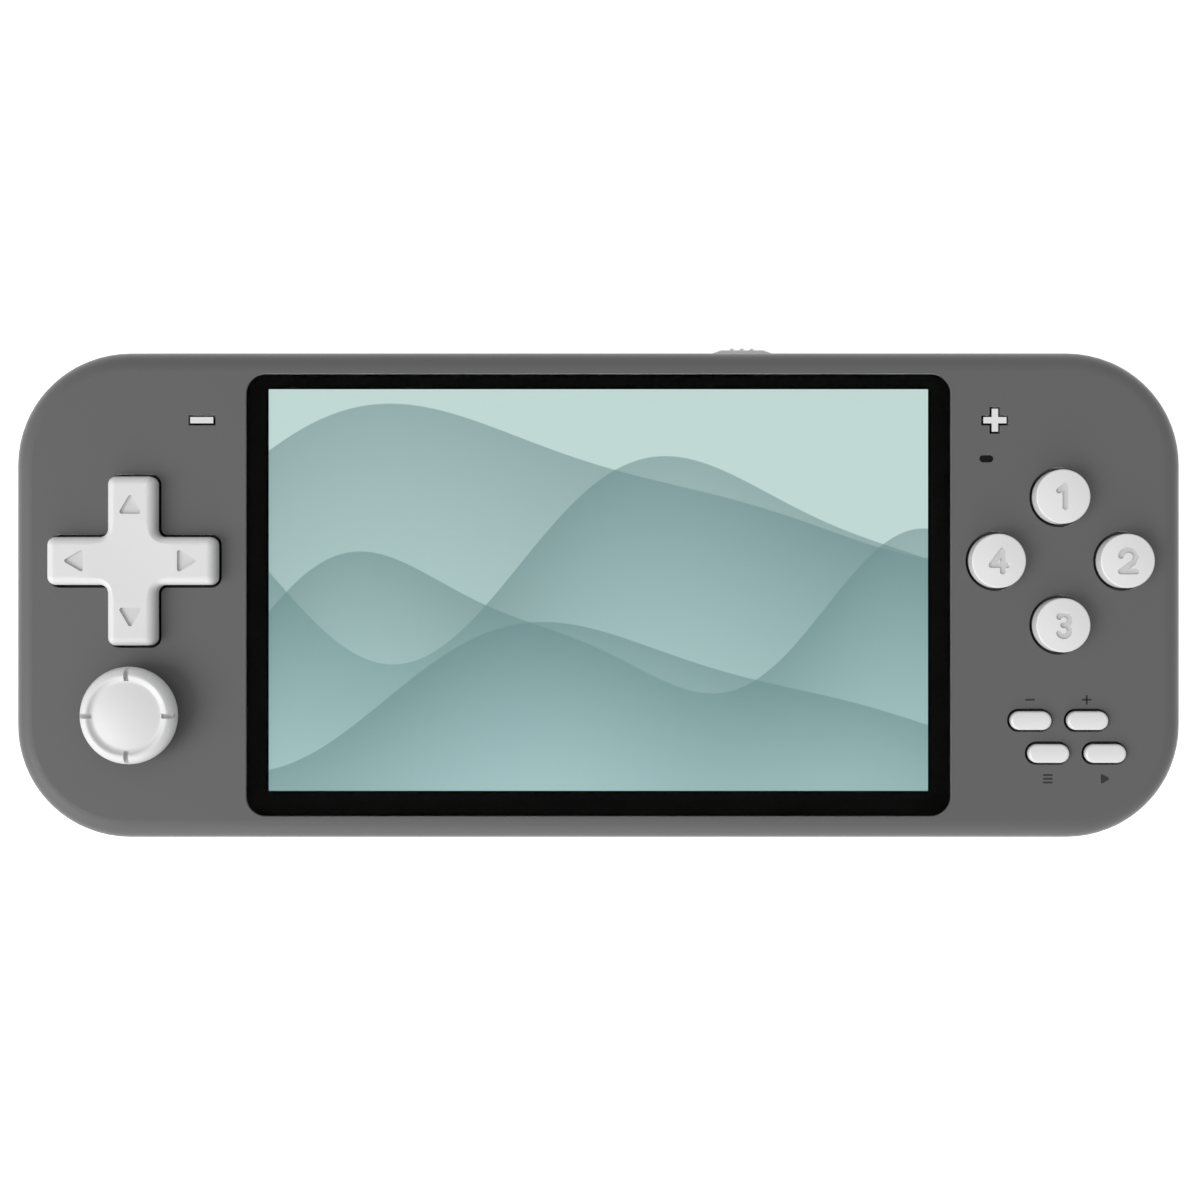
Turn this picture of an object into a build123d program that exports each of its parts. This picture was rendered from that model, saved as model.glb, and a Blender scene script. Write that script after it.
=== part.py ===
from build123d import *
import math
import os

# Handheld game console lying on its back, with every piece its own solid.
# X runs along the console, Y to the top edge of the screen and Z out of the screen.
# The origin is the middle of the flat rear face. Lengths are in mm, angles in degrees.

# One overrun serves every cut
overrun = 2.0

# Cover lens and picture
view_length = 93.4
view_width = 56.9
view_rise = 0.73
border_side = 2.95
border_end = 2.72
lens_corner = 2.8
lens_thick = 1.0
lens_gap = 0.1
lens_sink = 0.05
ink_thick = 0.15
window_margin = 0.6

# Display stack under the front shell
foam_thick = 0.3
foam_gap = 0.2
panel_inset = 0.33
panel_thick = 1.0
backlight_thick = 0.6
tray_gap = 0.1
tray_wall = 0.6
tray_floor = 0.6
tray_corner = 1.5
tray_foot_radius = 1.6
tray_foot_place_shares = [(-0.9, 0.86), (0.9, 0.86), (-0.9, -0.86), (0.9, -0.86), (0.2, 0.86)]
ribbon_width = 18.0
ribbon_thick = 0.15
ribbon_bulge = 0.55
ribbon_reach = 4.6
ribbon_bend = 0.4
ribbon_notch_gap = 1.0

# Casing
body_corner = 16.0
edge_width = 3.3
wall = 1.6
front_wall = 1.8
front_edge = 2.8
rear_edge = 4.0
inner_front_edge = 1.2
inner_rear_edge = 1.4
under_board = 6.6
board_thick = 1.2
split_drop = 0.2
seam_bevel = 0.2
tongue_thick = 0.7
tongue_height = 1.2
tongue_gap = 0.1

# Directional pad
dpad_span = 23.7
dpad_arm = 6.7
dpad_side_gap = 5.45
dpad_screen_gap = 3.85
dpad_y = 4.8
dpad_height = 2.5
dpad_gap = 0.4
dpad_end_round = 1.1
dpad_inner_round = 1.15
dpad_top_round = 1.2
dpad_dish = 0.13
dpad_dish_radius = 140.0
dpad_skirt = 1.0
dpad_skirt_thick = 1.0
dpad_skirt_drop = 1.3
dpad_ball_radius = 1.5
dpad_ball_gap = 0.05
dpad_post_radius = 2.4
dpad_post_drop = 0.5
dpad_pocket_gap = 1.0
dpad_pocket_drop = 0.1
dpad_dome_pitch = 8.0
dpad_membrane_span = 20.0
dpad_membrane_corner = 5.0
mark_width = 3.4
mark_height = 2.9
mark_depth = 0.3
mark_round = 0.3

# Round action buttons
action_pitch = 9.0
action_x_inset = 17.67
action_y = 4.8
action_radius = 3.8
action_hole_gap = 0.42
action_height = 2.5
action_dome = 0.3
action_top_round = 0.22
action_skirt = 1.0
action_travel = 1.2
action_key_length = 0.9
action_key_width = 1.6
collar_gap = 0.25
collar_wall = 0.7
collar_height = 1.6
figure_height = 3.0
figure_width = 2.3
figure_stroke = 0.8
figure_depth = 0.3

# Pill buttons and the small buttons near the screen
pill_length = 5.75
pill_width = 2.62
pill_height = 0.9
pill_gap = 0.36
pill_crown = 0.2
pill_top_round = 0.35
pill_skirt = 0.6
pill_inner_reach = 4.12
pill_outer_reach = 3.87
pill_drop = 22.46
pill_row_inset = 2.5
pill_row_pitch = 4.63
small_lens_gap = 6.25
small_top_inset = 9.8
small_span = 3.22
small_arm = 0.87
small_height = 0.12
small_gap = 0.3
small_travel = 0.5
small_skirt_radius = 2.5
skirt_thick = 1.0
skirt_gap = 0.1

# Rubber membranes
sheet_thick = 0.8
sheet_margin = 0.4
dome_skin = 0.5
dome_gap = 0.1
dome_pressed = 1.2
action_dome_radius = 4.2
pill_dome_radius = 1.7
dome_top_share = 0.75

# Face switches and status light
switch_length = 4.2
switch_width = 3.2
switch_height = 2.0
switch_plunger_radius = 0.7
switch_end_gap = 0.1
light_lens_gap = 5.08
light_drop = 5.43
light_length = 2.0
light_width = 1.04
light_gap = 0.05
light_sink = 0.1
light_flange = 0.5
light_flange_thick = 0.8
light_foot_gap = 1.0
led_thick = 0.6

# Analog stick
stick_drop = 21.55
stick_pivot_drop = 0.7
stick_tilt = 12.0
stick_cap_radius = 6.75
stick_cap_height = 2.6
stick_crest_radius = 5.5
stick_crest_height = 4.75
stick_valley_radius = 4.9
stick_valley_drop = 0.55
stick_middle_drop = 0.0
stick_crest_round = 0.4
stick_valley_round = 0.7
stick_under_radius = 5.9
stick_under_height = 2.35
stick_neck_radius = 2.2
stick_neck_height = 1.5
stick_notch_width = 0.65
stick_notch_depth = 0.7
stick_notch_inner = 4.85
stick_notch_outer = 6.6
stick_hole_radius = 5.2
stick_skirt_rise = 0.4
stick_skirt_thick = 0.8
stick_skirt_gap = 0.3
stick_skirt_spare = 2.0
stem_radius = 1.4
stem_fit = 0.03
stem_top_height = 2.0
stem_block = (3.6, 3.0, 3.2)
gimbal_gap = 0.2
gimbal_pin_radius = 0.7
pivot_gap = 0.05
yoke_wall = 1.5
yoke_half_width = 3.6
yoke_half_depth = 5.0
yoke_half_height = 1.2
trunnion_radius = 1.0
arch_inner_radius = 4.9
arch_wall = 1.1
arch_half_width = 2.7
arch_slot_gap = 0.3
arch_slot_spare = 0.5
base_span = 16.0
base_wall = 0.8
base_depth = 4.8
base_rise = 1.0
base_tab_reach = 1.3
base_tab_inset = 1.7
base_tab_thick = 0.5
base_board_gap = 0.3
sensor_length = 7.0
sensor_thick = 2.0
sensor_height = 4.6
spring_radius = 1.5
spring_wire = 0.22
spring_pitch = 0.55
spring_gap = 0.1

# Slide switch on the top edge
slide_x = 20.95
slide_z = 6.2
slide_travel = 2.0
knob_length = 9.2
knob_proud = 1.25
knob_base_proud = 0.8
knob_high = 2.8
knob_end_slope = 1.2
knob_foot = 0.3
knob_bevel = 0.3
ridge_count = 3
ridge_pitch = 1.45
ridge_width = 0.5
ridge_height = 0.3
slot_side_gap = 0.2
slot_end_gap = 0.25
slide_flange_thick = 0.8
slide_flange_gap = 0.15
slide_flange_cover = 0.6
slide_flange_margin = 0.25
prong_thick = 0.8
prong_length = 1.4
lever_width = 1.5
lever_high = 1.2
lever_gap = 0.1
lever_inside = 1.5
switch_body = (8.5, 3.7, 3.5)
switch_body_gap = 0.2

# Shoulder buttons
shoulder_start_inset = 36.25
shoulder_end_inset = 6.25
shoulder_low = 3.25
shoulder_board_gap = 0.2
shoulder_proud = 0.6
shoulder_inside = 1.35
shoulder_gap = 0.25
shoulder_edge = 0.6
shoulder_pin_inset = 38.25
shoulder_pin_radius = 0.8
shoulder_pin_gap = 0.05
shoulder_lug_wall = 0.6
shoulder_wall_gap = 0.25
shoulder_bridge = 4.0
shoulder_stop_reach = 1.4
shoulder_stop_thick = 1.0
shoulder_stop_inset = 0.35
shoulder_swing = 2.5
shoulder_switch_inset = 20.25
shoulder_switch = (6.0, 3.5, 3.5)
shoulder_plunger = (2.6, 0.9, 1.5)
shoulder_pusher_width = 3.0
pin_boss_radius = 1.9
pin_boss_height = 1.4
pin_end_gap = 0.1

# Sockets
usb_size = (8.94, 7.3, 3.26)
usb_sink = 0.55
usb_wall = 0.3
usb_depth = 6.2
usb_tongue = (6.69, 4.4, 0.7)
usb_port_gap = 0.33
card_x = -22.0
card_size = (14.0, 15.0, 1.9)
card_slot = (11.4, 13.0, 1.0)
card_port_gap = 0.25
card_wall_gap = 0.15
jack_x = -20.0
jack_size = (6.0, 10.0, 5.0)
jack_bore_radius = 1.8
jack_bore_depth = 10.7
jack_nose_radius = 2.5
jack_nose_sink = 0.15
jack_port_gap = 0.15
jack_wall_gap = 0.2

# Screws and their bosses
case_screw_end_inset = 9.75
case_screw_top_inset = 11.75
case_screw_lens_gap = 3.55
case_screw_low_inset = 6.65
case_boss_radius = 2.9
case_front_boss_radius = 2.3
case_head_radius = 1.8
case_head_height = 1.6
case_shank_radius = 0.95
case_seat = 4.0
case_shank_end = 0.8
case_hole_gap = 0.2
case_board_gap = 0.3
boss_end_gap = 0.1
board_screw_end_inset = 5.05
board_screw_end_y = -6.3
board_screw_lens_gap = 3.35
board_screw_lens_y = -9.5
board_post_radius = 1.7
board_head_radius = 1.5
board_head_height = 1.0
board_shank_radius = 0.7
board_shank_reach = 3.0
board_hole_gap = 0.15
screw_slot_width = 0.5
screw_slot_share = 0.6

# Main board
board_gap = 0.6
board_corner_gap = 0.3

# Chips on the board: length, width, height, and the place as shares of the half board
chip_shares = [
    ((12.0, 12.0, 1.4), (0.10, 0.06)),
    ((11.0, 8.0, 1.1), (-0.14, 0.12)),
    ((14.0, 12.0, 1.0), (0.32, -0.18)),
    ((5.0, 5.0, 0.9), (-0.32, -0.26)),
    ((3.2, 2.5, 0.8), (0.04, -0.34)),
]

# Connectors on the board
battery_plug = (3.2, 5.0, 1.3)
battery_plug_gap = 5.5
speaker_plug = (2.6, 4.0, 1.2)
ribbon_plug = (20.0, 3.2, 1.1)

# Battery
battery_end_inset = 19.65
battery_top_inset = 18.25
battery_low_inset = 14.25
battery_headroom = 1.4
battery_round = 1.2
tape_thick = 0.2
tape_inset = 4.0
bay_gap = 0.3
bay_wall = 0.8
bay_height = 3.0
bay_notch = 8.0

# Speakers
speaker_y = 5.0
speaker_radius = 9.0
speaker_height = 3.4
speaker_magnet_radius = 5.0
speaker_frame_height = 1.2
speaker_cone_depth = 0.7
speaker_cone_radius = 7.2
speaker_ring_gap = 0.15
speaker_ring_wall = 0.8
speaker_ring_height = 1.5
sound_slot_width = 1.2
sound_slot_pitch = 2.6
sound_slot_length_shares = [0.62, 0.92, 1.0, 0.92, 0.62]

# Wires
wire_radius = 0.5
wire_gap = 0.6
wire_arc_share = 0.45

# Sizes worked out from the ones above
lens_length = view_length + 2 * border_side
lens_width = view_width + 2 * border_end
side_width = dpad_side_gap + dpad_span + dpad_screen_gap
body_length = lens_length + 2 * side_width
body_width = lens_width + 2 * edge_width
half_length = body_length / 2
half_width = body_width / 2
board_low = wall + under_board
board_top = board_low + board_thick
over_board = sheet_thick + dome_pressed + action_travel + dome_gap + skirt_thick + skirt_gap
inside_top = board_top + over_board
face = inside_top + front_wall
split = board_top - split_drop
ledge = face - lens_sink - lens_thick - ink_thick
panel_length = lens_length - 2 * panel_inset
panel_width = lens_width - 2 * panel_inset
tray_length = panel_length + 2 * (tray_gap + tray_wall)
tray_width = panel_width + 2 * (tray_gap + tray_wall)
panel_low = inside_top - foam_thick - panel_thick
backlight_low = panel_low - backlight_thick
tray_low = backlight_low - tray_floor
board_length = body_length - 2 * (wall + board_gap)
board_width = body_width - 2 * (wall + board_gap)
board_corner = body_corner - wall - board_gap + board_corner_gap
dpad_x = -half_length + dpad_side_gap + dpad_span / 2
stick_x = dpad_x
stick_y = dpad_y - stick_drop
lens_end = lens_length / 2
action_x = half_length - action_x_inset
dpad_pivot = inside_top - dpad_skirt_drop
skirt_top = inside_top - skirt_gap
skirt_low = skirt_top - skirt_thick
sheet_top = board_top + sheet_thick
stick_pivot = board_low - stick_pivot_drop
stick_skirt_radius = face - stick_pivot + stick_skirt_rise
case_screw_ends = [
    (half_length - case_screw_end_inset, half_width - case_screw_top_inset),
    (lens_end + case_screw_lens_gap, case_screw_low_inset - half_width),
]
case_screw_places = [(side * x, y) for x, y in case_screw_ends for side in (-1, 1)]
board_screw_ends = [
    (half_length - board_screw_end_inset, board_screw_end_y),
    (lens_end + board_screw_lens_gap, board_screw_lens_y),
]
post_places = [(side * x, y) for side in (-1, 1) for x, y in board_screw_ends]
action_places = {
    "top": (action_x, action_y + action_pitch),
    "right": (action_x + action_pitch, action_y),
    "bottom": (action_x, action_y - action_pitch),
    "left": (action_x - action_pitch, action_y),
}
pill_row = action_y - pill_drop
pill_low_row = pill_row - pill_row_pitch
pill_columns = (action_x - pill_inner_reach, action_x + pill_outer_reach)
pill_places = {
    "volume_down": (pill_columns[0], pill_row),
    "volume_up": (pill_columns[1], pill_row),
    "select": (pill_columns[0] + pill_row_inset, pill_low_row),
    "start": (pill_columns[1] + pill_row_inset, pill_low_row),
}
small_x = lens_end + small_lens_gap
small_y = half_width - small_top_inset
light_x = lens_end + light_lens_gap
light_y = small_y - light_drop
shoulder_start = half_length - shoulder_start_inset
shoulder_end = half_length - shoulder_end_inset
shoulder_pin_x = half_length - shoulder_pin_inset
shoulder_switch_x = half_length - shoulder_switch_inset
shoulder_high = board_low - shoulder_board_gap
shoulder_mid = (shoulder_low + shoulder_high) / 2
shoulder_pin_y = half_width - wall - shoulder_wall_gap - shoulder_pin_radius - shoulder_lug_wall
battery_length = lens_length - 2 * battery_end_inset
battery_width = body_width - battery_top_inset - battery_low_inset
battery_y = (battery_low_inset - battery_top_inset) / 2
wire_pitch = 2 * wire_radius + wire_gap

# Strokes of the plain figures, as shares of their width and height. Two points
# make a straight stroke and three points an arc through the middle one.
figure_stroke_shares = {
    "top": [
        [(-0.30, 0.26), (0.08, 0.50)],
        [(0.08, 0.50), (0.08, -0.50)],
    ],
    "right": [
        [(-0.46, 0.22), (0.00, 0.50), (0.45, 0.20)],
        [(0.45, 0.20), (0.32, -0.06)],
        [(0.32, -0.06), (-0.46, -0.50)],
        [(-0.46, -0.50), (0.48, -0.50)],
    ],
    "bottom": [
        [(-0.30, 0.38), (0.33, 0.25), (-0.06, 0.00)],
        [(-0.06, 0.00), (0.33, -0.25), (-0.30, -0.38)],
    ],
    "left": [
        [(0.20, 0.50), (-0.48, -0.20)],
        [(-0.48, -0.20), (0.50, -0.20)],
        [(0.20, 0.50), (0.20, -0.50)],
    ],
}


# Plans and simple solids

def outline(grow):
    """Plan of the casing, grown or shrunk evenly."""
    return RectangleRounded(body_length + 2 * grow, body_width + 2 * grow, body_corner + grow)


def slab(plan, low, high):
    """A flat plan raised from one level to another."""
    return Pos(0, 0, low) * extrude(plan, high - low)


def rod(x, y, radius, low, high):
    """An upright round rod."""
    return slab(Pos(x, y) * Circle(radius), low, high)


def block(x_span, y_span, z_span):
    """A box between two values along each axis."""
    spans = (x_span, y_span, z_span)
    size = [high - low for low, high in spans]
    middle = [(low + high) / 2 for low, high in spans]
    return Pos(*middle) * Box(*size)


def around(middle, size):
    """The span of one size about its middle."""
    return (middle - size / 2, middle + size / 2)


def cross(span, arm, end_round, inner_round):
    """Plan of a plus shape with rounded ends and rounded inner corners."""
    plan = Rectangle(span, arm) + Rectangle(arm, span)
    corners = plan.vertices()
    inner = [v for v in corners if abs(abs(v.X) - abs(v.Y)) < arm / 4]
    outer = [v for v in corners if abs(abs(v.X) - abs(v.Y)) > arm / 4]
    if inner_round > 0:
        plan = fillet(inner, inner_round)
        corners = plan.vertices()
        reach = span / 2 - arm / 4
        outer = [v for v in corners if max(abs(v.X), abs(v.Y)) > reach]
    return fillet(outer, end_round)


def top_edges(solid):
    """Edges of the highest face."""
    return solid.faces().sort_by(Axis.Z)[-1].edges()


def bottom_edges(solid):
    """Edges of the lowest face."""
    return solid.faces().sort_by(Axis.Z)[0].edges()


def stroke(points):
    """One bar of a figure, straight or bent, with round ends."""
    sized = [(x * figure_width, y * figure_height) for x, y in points]
    line = Line(*sized) if len(sized) == 2 else ThreePointArc(*sized)
    bar = trace(line, figure_stroke)
    for x, y in (sized[0], sized[-1]):
        bar += Pos(x, y) * Circle(figure_stroke / 2)
    return bar


def figure(name):
    """Plan of one plain figure."""
    plan = Sketch()
    for points in figure_stroke_shares[name]:
        plan += stroke(points)
    return plan


def wire(points):
    """A round wire along straight runs joined by tangent arcs."""
    runs = [(Vector(*b) - Vector(*a)) for a, b in zip(points, points[1:])]
    radii = []
    for first, second in zip(runs, runs[1:]):
        half_turn = math.radians(first.get_angle(second)) / 2
        radii.append(wire_arc_share * min(first.length, second.length) / math.tan(half_turn))
    path = FilletPolyline(*points, radius=radii)
    start = Plane(origin=path @ 0, z_dir=path % 0)
    tube = sweep(start * Circle(wire_radius), path=path)
    share = tube.volume / (math.pi * wire_radius ** 2 * path.length)
    print(f"wire arc radii {[round(r, 2) for r in radii]}, volume share {share:.4f}")
    return tube


# Casing

def casing_outside():
    """The closed outer form of the console."""
    form = slab(outline(0), 0, face)
    form = fillet(top_edges(form), front_edge)
    return fillet(bottom_edges(form), rear_edge)


def casing_inside():
    """The hollow of the console."""
    form = slab(outline(-wall), wall, inside_top)
    form = fillet(top_edges(form), inner_front_edge)
    return fillet(bottom_edges(form), inner_rear_edge)


def seam_edges(shell):
    """The outer edges where the two shells meet."""
    at_split = [e for e in shell.edges() if abs(e.center().Z - split) < seam_bevel / 2]
    flat = [e for e in at_split if e.bounding_box().size.Z < seam_bevel / 2]
    return [e for e in flat if on_outline(e)]


def on_outline(edge):
    """Whether an edge lies on the outer side of the casing."""
    point = edge @ 0
    in_x = abs(point.X) - (half_length - body_corner)
    in_y = abs(point.Y) - (half_width - body_corner)
    return math.hypot(max(in_x, 0), max(in_y, 0)) > body_corner - wall / 2


def view_plan(margin):
    """Plan of the picture with an even margin."""
    return Pos(0, view_rise) * Rectangle(view_length + 2 * margin, view_width + 2 * margin)


def lens_plan(margin):
    """Plan of the cover lens with an even margin."""
    return RectangleRounded(lens_length + 2 * margin, lens_width + 2 * margin, lens_corner + margin)


def shoulder_window():
    """The cut in the rear shell for the right shoulder button."""
    span = (shoulder_start - shoulder_gap, shoulder_end + shoulder_gap)
    mask = block(span, (0, body_width), (shoulder_low - shoulder_gap, shoulder_high + shoulder_gap))
    ring = slab(outline(overrun), 0, face) - slab(outline(-wall - overrun), 0, face)
    return ring & mask


def front_shell():
    """Front half of the casing, with every opening of the face."""
    shell = casing_outside() - casing_inside()
    shell &= half_space(split, face + overrun)
    shell = chamfer(seam_edges(shell), seam_bevel)
    rabbet = slab(outline(tongue_thick + tongue_gap - wall), split - overrun,
                  split + tongue_height + tongue_gap)
    shell -= rabbet
    for x, y in case_screw_places:
        shell += rod(x, y, case_front_boss_radius, split + boss_end_gap, inside_top)
        shell -= rod(x, y, case_shank_radius, split, inside_top - case_shank_end)
    for x, y in post_places:
        shell += rod(x, y, board_post_radius, board_top, inside_top)
        shell -= rod(x, y, board_shank_radius, board_top, board_top + board_shank_reach)
    for name, (x, y) in action_places.items():
        shell += Pos(x, y) * button_collar(name)
    shell -= slab(lens_plan(lens_gap), ledge, face + overrun)
    shell -= slab(view_plan(window_margin), inside_top - overrun, face)
    for x, y in action_places.values():
        shell -= rod(x, y, action_radius + action_hole_gap, inside_top - overrun, face + overrun)
    shell -= slab(dpad_plan(dpad_gap), inside_top - overrun, face + overrun)
    for x, y in pill_places.values():
        shell -= slab(Pos(x, y) * pill_plan(pill_gap), inside_top - overrun, face + overrun)
    shell -= slab(Pos(small_x, small_y) * plus_plan(small_gap), inside_top - overrun, face + overrun)
    shell -= slab(Pos(-small_x, small_y) * minus_plan(small_gap), inside_top - overrun, face + overrun)
    shell -= slab(light_plan(0), inside_top - overrun, face + overrun)
    shell -= rod(stick_x, stick_y, stick_hole_radius, inside_top - overrun, face + overrun)
    shell -= Pos(stick_x, stick_y, stick_pivot) * Sphere(stick_skirt_radius + stick_skirt_gap)
    return shell


def half_space(low, high):
    """Everything of the console between two levels."""
    return block((-body_length, body_length), (-body_width, body_width), (low, high))


def rear_shell():
    """Rear half of the casing, with bosses, battery bay, ports and sound slots."""
    shell = casing_outside() - casing_inside()
    shell &= half_space(-overrun, split)
    shell = chamfer(seam_edges(shell), seam_bevel)
    tongue = slab(outline(tongue_thick - wall), split - tongue_height, split + tongue_height)
    tongue -= slab(outline(-wall), split - tongue_height, split + tongue_height)
    shell += tongue
    for x, y in case_screw_places:
        shell += rod(x, y, case_boss_radius, wall / 2, split)
        shell -= rod(x, y, case_head_radius + case_hole_gap, 0, case_seat)
        shell -= rod(x, y, case_shank_radius + case_hole_gap, 0, split)
    bay = slab(battery_plan(bay_gap + bay_wall), wall / 2, wall + bay_height)
    bay -= slab(battery_plan(bay_gap), wall, wall + bay_height)
    notch_y = around(battery_y + battery_width / 4, bay_notch)
    bay -= block((0, battery_length), notch_y, (wall, wall + bay_height + overrun))
    shell += bay
    for side in (-1, 1):
        shell = speaker_seat(shell, side * abs(dpad_x))
        boss_x = side * shoulder_pin_x
        shell += rod(boss_x, shoulder_pin_y, pin_boss_radius, wall / 2, wall + pin_boss_height)
        shell -= rod(boss_x, shoulder_pin_y, shoulder_pin_radius, wall, wall + pin_boss_height)
    window = shoulder_window()
    shell -= window
    shell -= mirror(window, about=Plane.YZ)
    shell -= usb_port() + card_port() + jack_port() + slide_slot()
    return shell


def speaker_seat(shell, x):
    """The ring that holds one speaker, and the sound slots under it."""
    outer = speaker_radius + speaker_ring_gap + speaker_ring_wall
    inner = speaker_radius + speaker_ring_gap
    shell += rod(x, speaker_y, outer, wall / 2, wall + speaker_ring_height)
    shell -= rod(x, speaker_y, inner, wall, wall + speaker_ring_height)
    count = len(sound_slot_length_shares)
    for index, share in enumerate(sound_slot_length_shares):
        slot_y = speaker_y + (index - (count - 1) / 2) * sound_slot_pitch
        slot = SlotOverall(share * 2 * speaker_cone_radius, sound_slot_width)
        shell -= slab(Pos(x, slot_y) * slot, -overrun, wall + overrun)
    return shell


def case_screws():
    """Four screws that join the shells, driven from the rear."""
    screws = []
    for x, y in case_screw_places:
        screw = rod(x, y, case_head_radius, case_seat - case_head_height, case_seat)
        screw += rod(x, y, case_shank_radius, case_seat, inside_top - case_shank_end - boss_end_gap)
        screws.append(screw - screw_cross(x, y, case_head_radius, case_seat - case_head_height))
    return Compound(children=screws)


def board_screws():
    """Four screws that hold the board to the front shell."""
    screws = []
    for x, y in post_places:
        screw = rod(x, y, board_head_radius, board_low - board_head_height, board_low)
        screw += rod(x, y, board_shank_radius, board_low, board_top + board_shank_reach - boss_end_gap)
        screws.append(screw - screw_cross(x, y, board_head_radius, board_low - board_head_height))
    return Compound(children=screws)


def screw_cross(x, y, radius, level):
    """The cross recess in a screw head that faces the rear."""
    span = 2 * radius * screw_slot_share
    plan = Rectangle(span, screw_slot_width) + Rectangle(screw_slot_width, span)
    return slab(Pos(x, y) * plan, level - overrun, level + screw_slot_width)


# Screen

def screen_lens():
    """Cover lens, flush in the face."""
    return slab(lens_plan(0), ledge + ink_thick, ledge + ink_thick + lens_thick)


def lens_border():
    """Black printed border under the lens."""
    return slab(lens_plan(0) - view_plan(0), ledge, ledge + ink_thick)


def display_foam():
    """Thin foam ring between the panel and the front shell."""
    plan = Rectangle(panel_length, panel_width) - view_plan(window_margin + foam_gap)
    return slab(plan, inside_top - foam_thick, inside_top)


def display_panel():
    """Display panel."""
    return slab(Rectangle(panel_length, panel_width), panel_low, panel_low + panel_thick)


def display_backlight():
    """Light guide behind the panel."""
    return slab(Rectangle(panel_length, panel_width), backlight_low, panel_low)


def display_tray():
    """Shallow tray that carries the panel, on feet that stand on the board."""
    tray = slab(RectangleRounded(tray_length, tray_width, tray_corner), tray_low,
                panel_low + panel_thick)
    pocket = Rectangle(panel_length + 2 * tray_gap, panel_width + 2 * tray_gap)
    tray -= slab(pocket, backlight_low, face)
    notch = around(0, ribbon_width + 2 * ribbon_notch_gap)
    tray -= block(notch, (-body_width, -panel_width / 2), (panel_low, face))
    for x_share, y_share in tray_foot_place_shares:
        x = x_share * tray_length / 2
        y = y_share * tray_width / 2
        tray += rod(x, y, tray_foot_radius, board_top, backlight_low)
    return tray


def display_ribbon():
    """Flat ribbon from the panel round the tray to the board."""
    edge = -panel_width / 2
    far = -tray_width / 2 - ribbon_bulge
    high = panel_low + panel_thick / 2
    low = board_top + ribbon_plug[2] / 2
    line = FilletPolyline((edge, high), (far, high), (far, low), (far + ribbon_reach, low),
                          radius=ribbon_bend)
    plan = trace(line, ribbon_thick)
    across = Plane(origin=(-ribbon_width / 2, 0, 0), x_dir=(0, 1, 0), z_dir=(1, 0, 0))
    return extrude(across * plan, ribbon_width)


# Directional pad

def dpad_plan(margin):
    """Plan of the directional pad with an even margin."""
    plan = cross(dpad_span + 2 * margin, dpad_arm + 2 * margin, dpad_end_round + margin,
                 max(dpad_inner_round - margin, 0))
    return Pos(dpad_x, dpad_y) * plan


def dpad_cap():
    """The cross, dished in the middle, with four sunk triangles."""
    low = dpad_pivot - dpad_skirt_thick
    top = face + dpad_height
    cap = slab(dpad_plan(0), low, top)
    cap = fillet(top_edges(cap), dpad_top_round)
    dish_z = top - dpad_dish + dpad_dish_radius
    cap -= Pos(dpad_x, dpad_y, dish_z) * Sphere(dpad_dish_radius)
    cap += slab(dpad_plan(dpad_skirt), low, dpad_pivot)
    pocket_radius = dpad_post_radius + dpad_pocket_gap
    cap -= rod(dpad_x, dpad_y, pocket_radius, low, dpad_pivot - dpad_pocket_drop)
    cap -= Pos(dpad_x, dpad_y, dpad_pivot) * Sphere(dpad_ball_radius + dpad_ball_gap)
    triangle = Polygon((-mark_width / 2, 0), (mark_width / 2, 0), (0, mark_height),
                       align=(Align.CENTER, Align.CENTER))
    triangle = fillet(triangle.vertices(), mark_round)
    for turn in range(4):
        place = Rot(0, 0, 90 * turn) * Pos(0, dpad_dome_pitch) * triangle
        cap -= slab(Pos(dpad_x, dpad_y) * place, top - mark_depth - mark_round / 4, top)
    return cap


def dpad_pivot_ball():
    """Ball that the directional pad rocks on."""
    return Pos(dpad_x, dpad_y, dpad_pivot) * Sphere(dpad_ball_radius)


def dpad_pivot_post():
    """Post on the board with a cup for the ball."""
    post = rod(dpad_x, dpad_y, dpad_post_radius, board_top, dpad_pivot - dpad_post_drop)
    return post - Pos(dpad_x, dpad_y, dpad_pivot) * Sphere(dpad_ball_radius + dpad_ball_gap)


def dpad_membrane():
    """Rubber sheet with four domes under the arms."""
    plan = RectangleRounded(dpad_membrane_span, dpad_membrane_span, dpad_membrane_corner)
    plan -= Circle(dpad_post_radius + sheet_margin)
    places = [(dpad_dome_pitch, 0), (0, dpad_dome_pitch), (-dpad_dome_pitch, 0), (0, -dpad_dome_pitch)]
    top = dpad_pivot - dpad_skirt_thick - dome_gap
    return Pos(dpad_x, dpad_y) * membrane(plan, places, pill_dome_radius, top)


def membrane(plan, places, radius, top):
    """Rubber sheet on the board with a hollow dome at each place."""
    sheet = slab(plan, board_top, sheet_top)
    for x, y in places:
        sheet += Pos(x, y) * dome(radius, sheet_top, top)
    for x, y in places:
        sheet -= Pos(x, y) * dome(radius - dome_skin, board_top, top - dome_skin)
    return sheet


def dome(radius, low, top):
    """A tapered round dome."""
    profile = Polyline((0, low), (radius, low), (radius * dome_top_share, top), (0, top), close=True)
    return revolve(Plane.XZ * make_face(profile), Axis.Z)


# Action buttons

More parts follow.
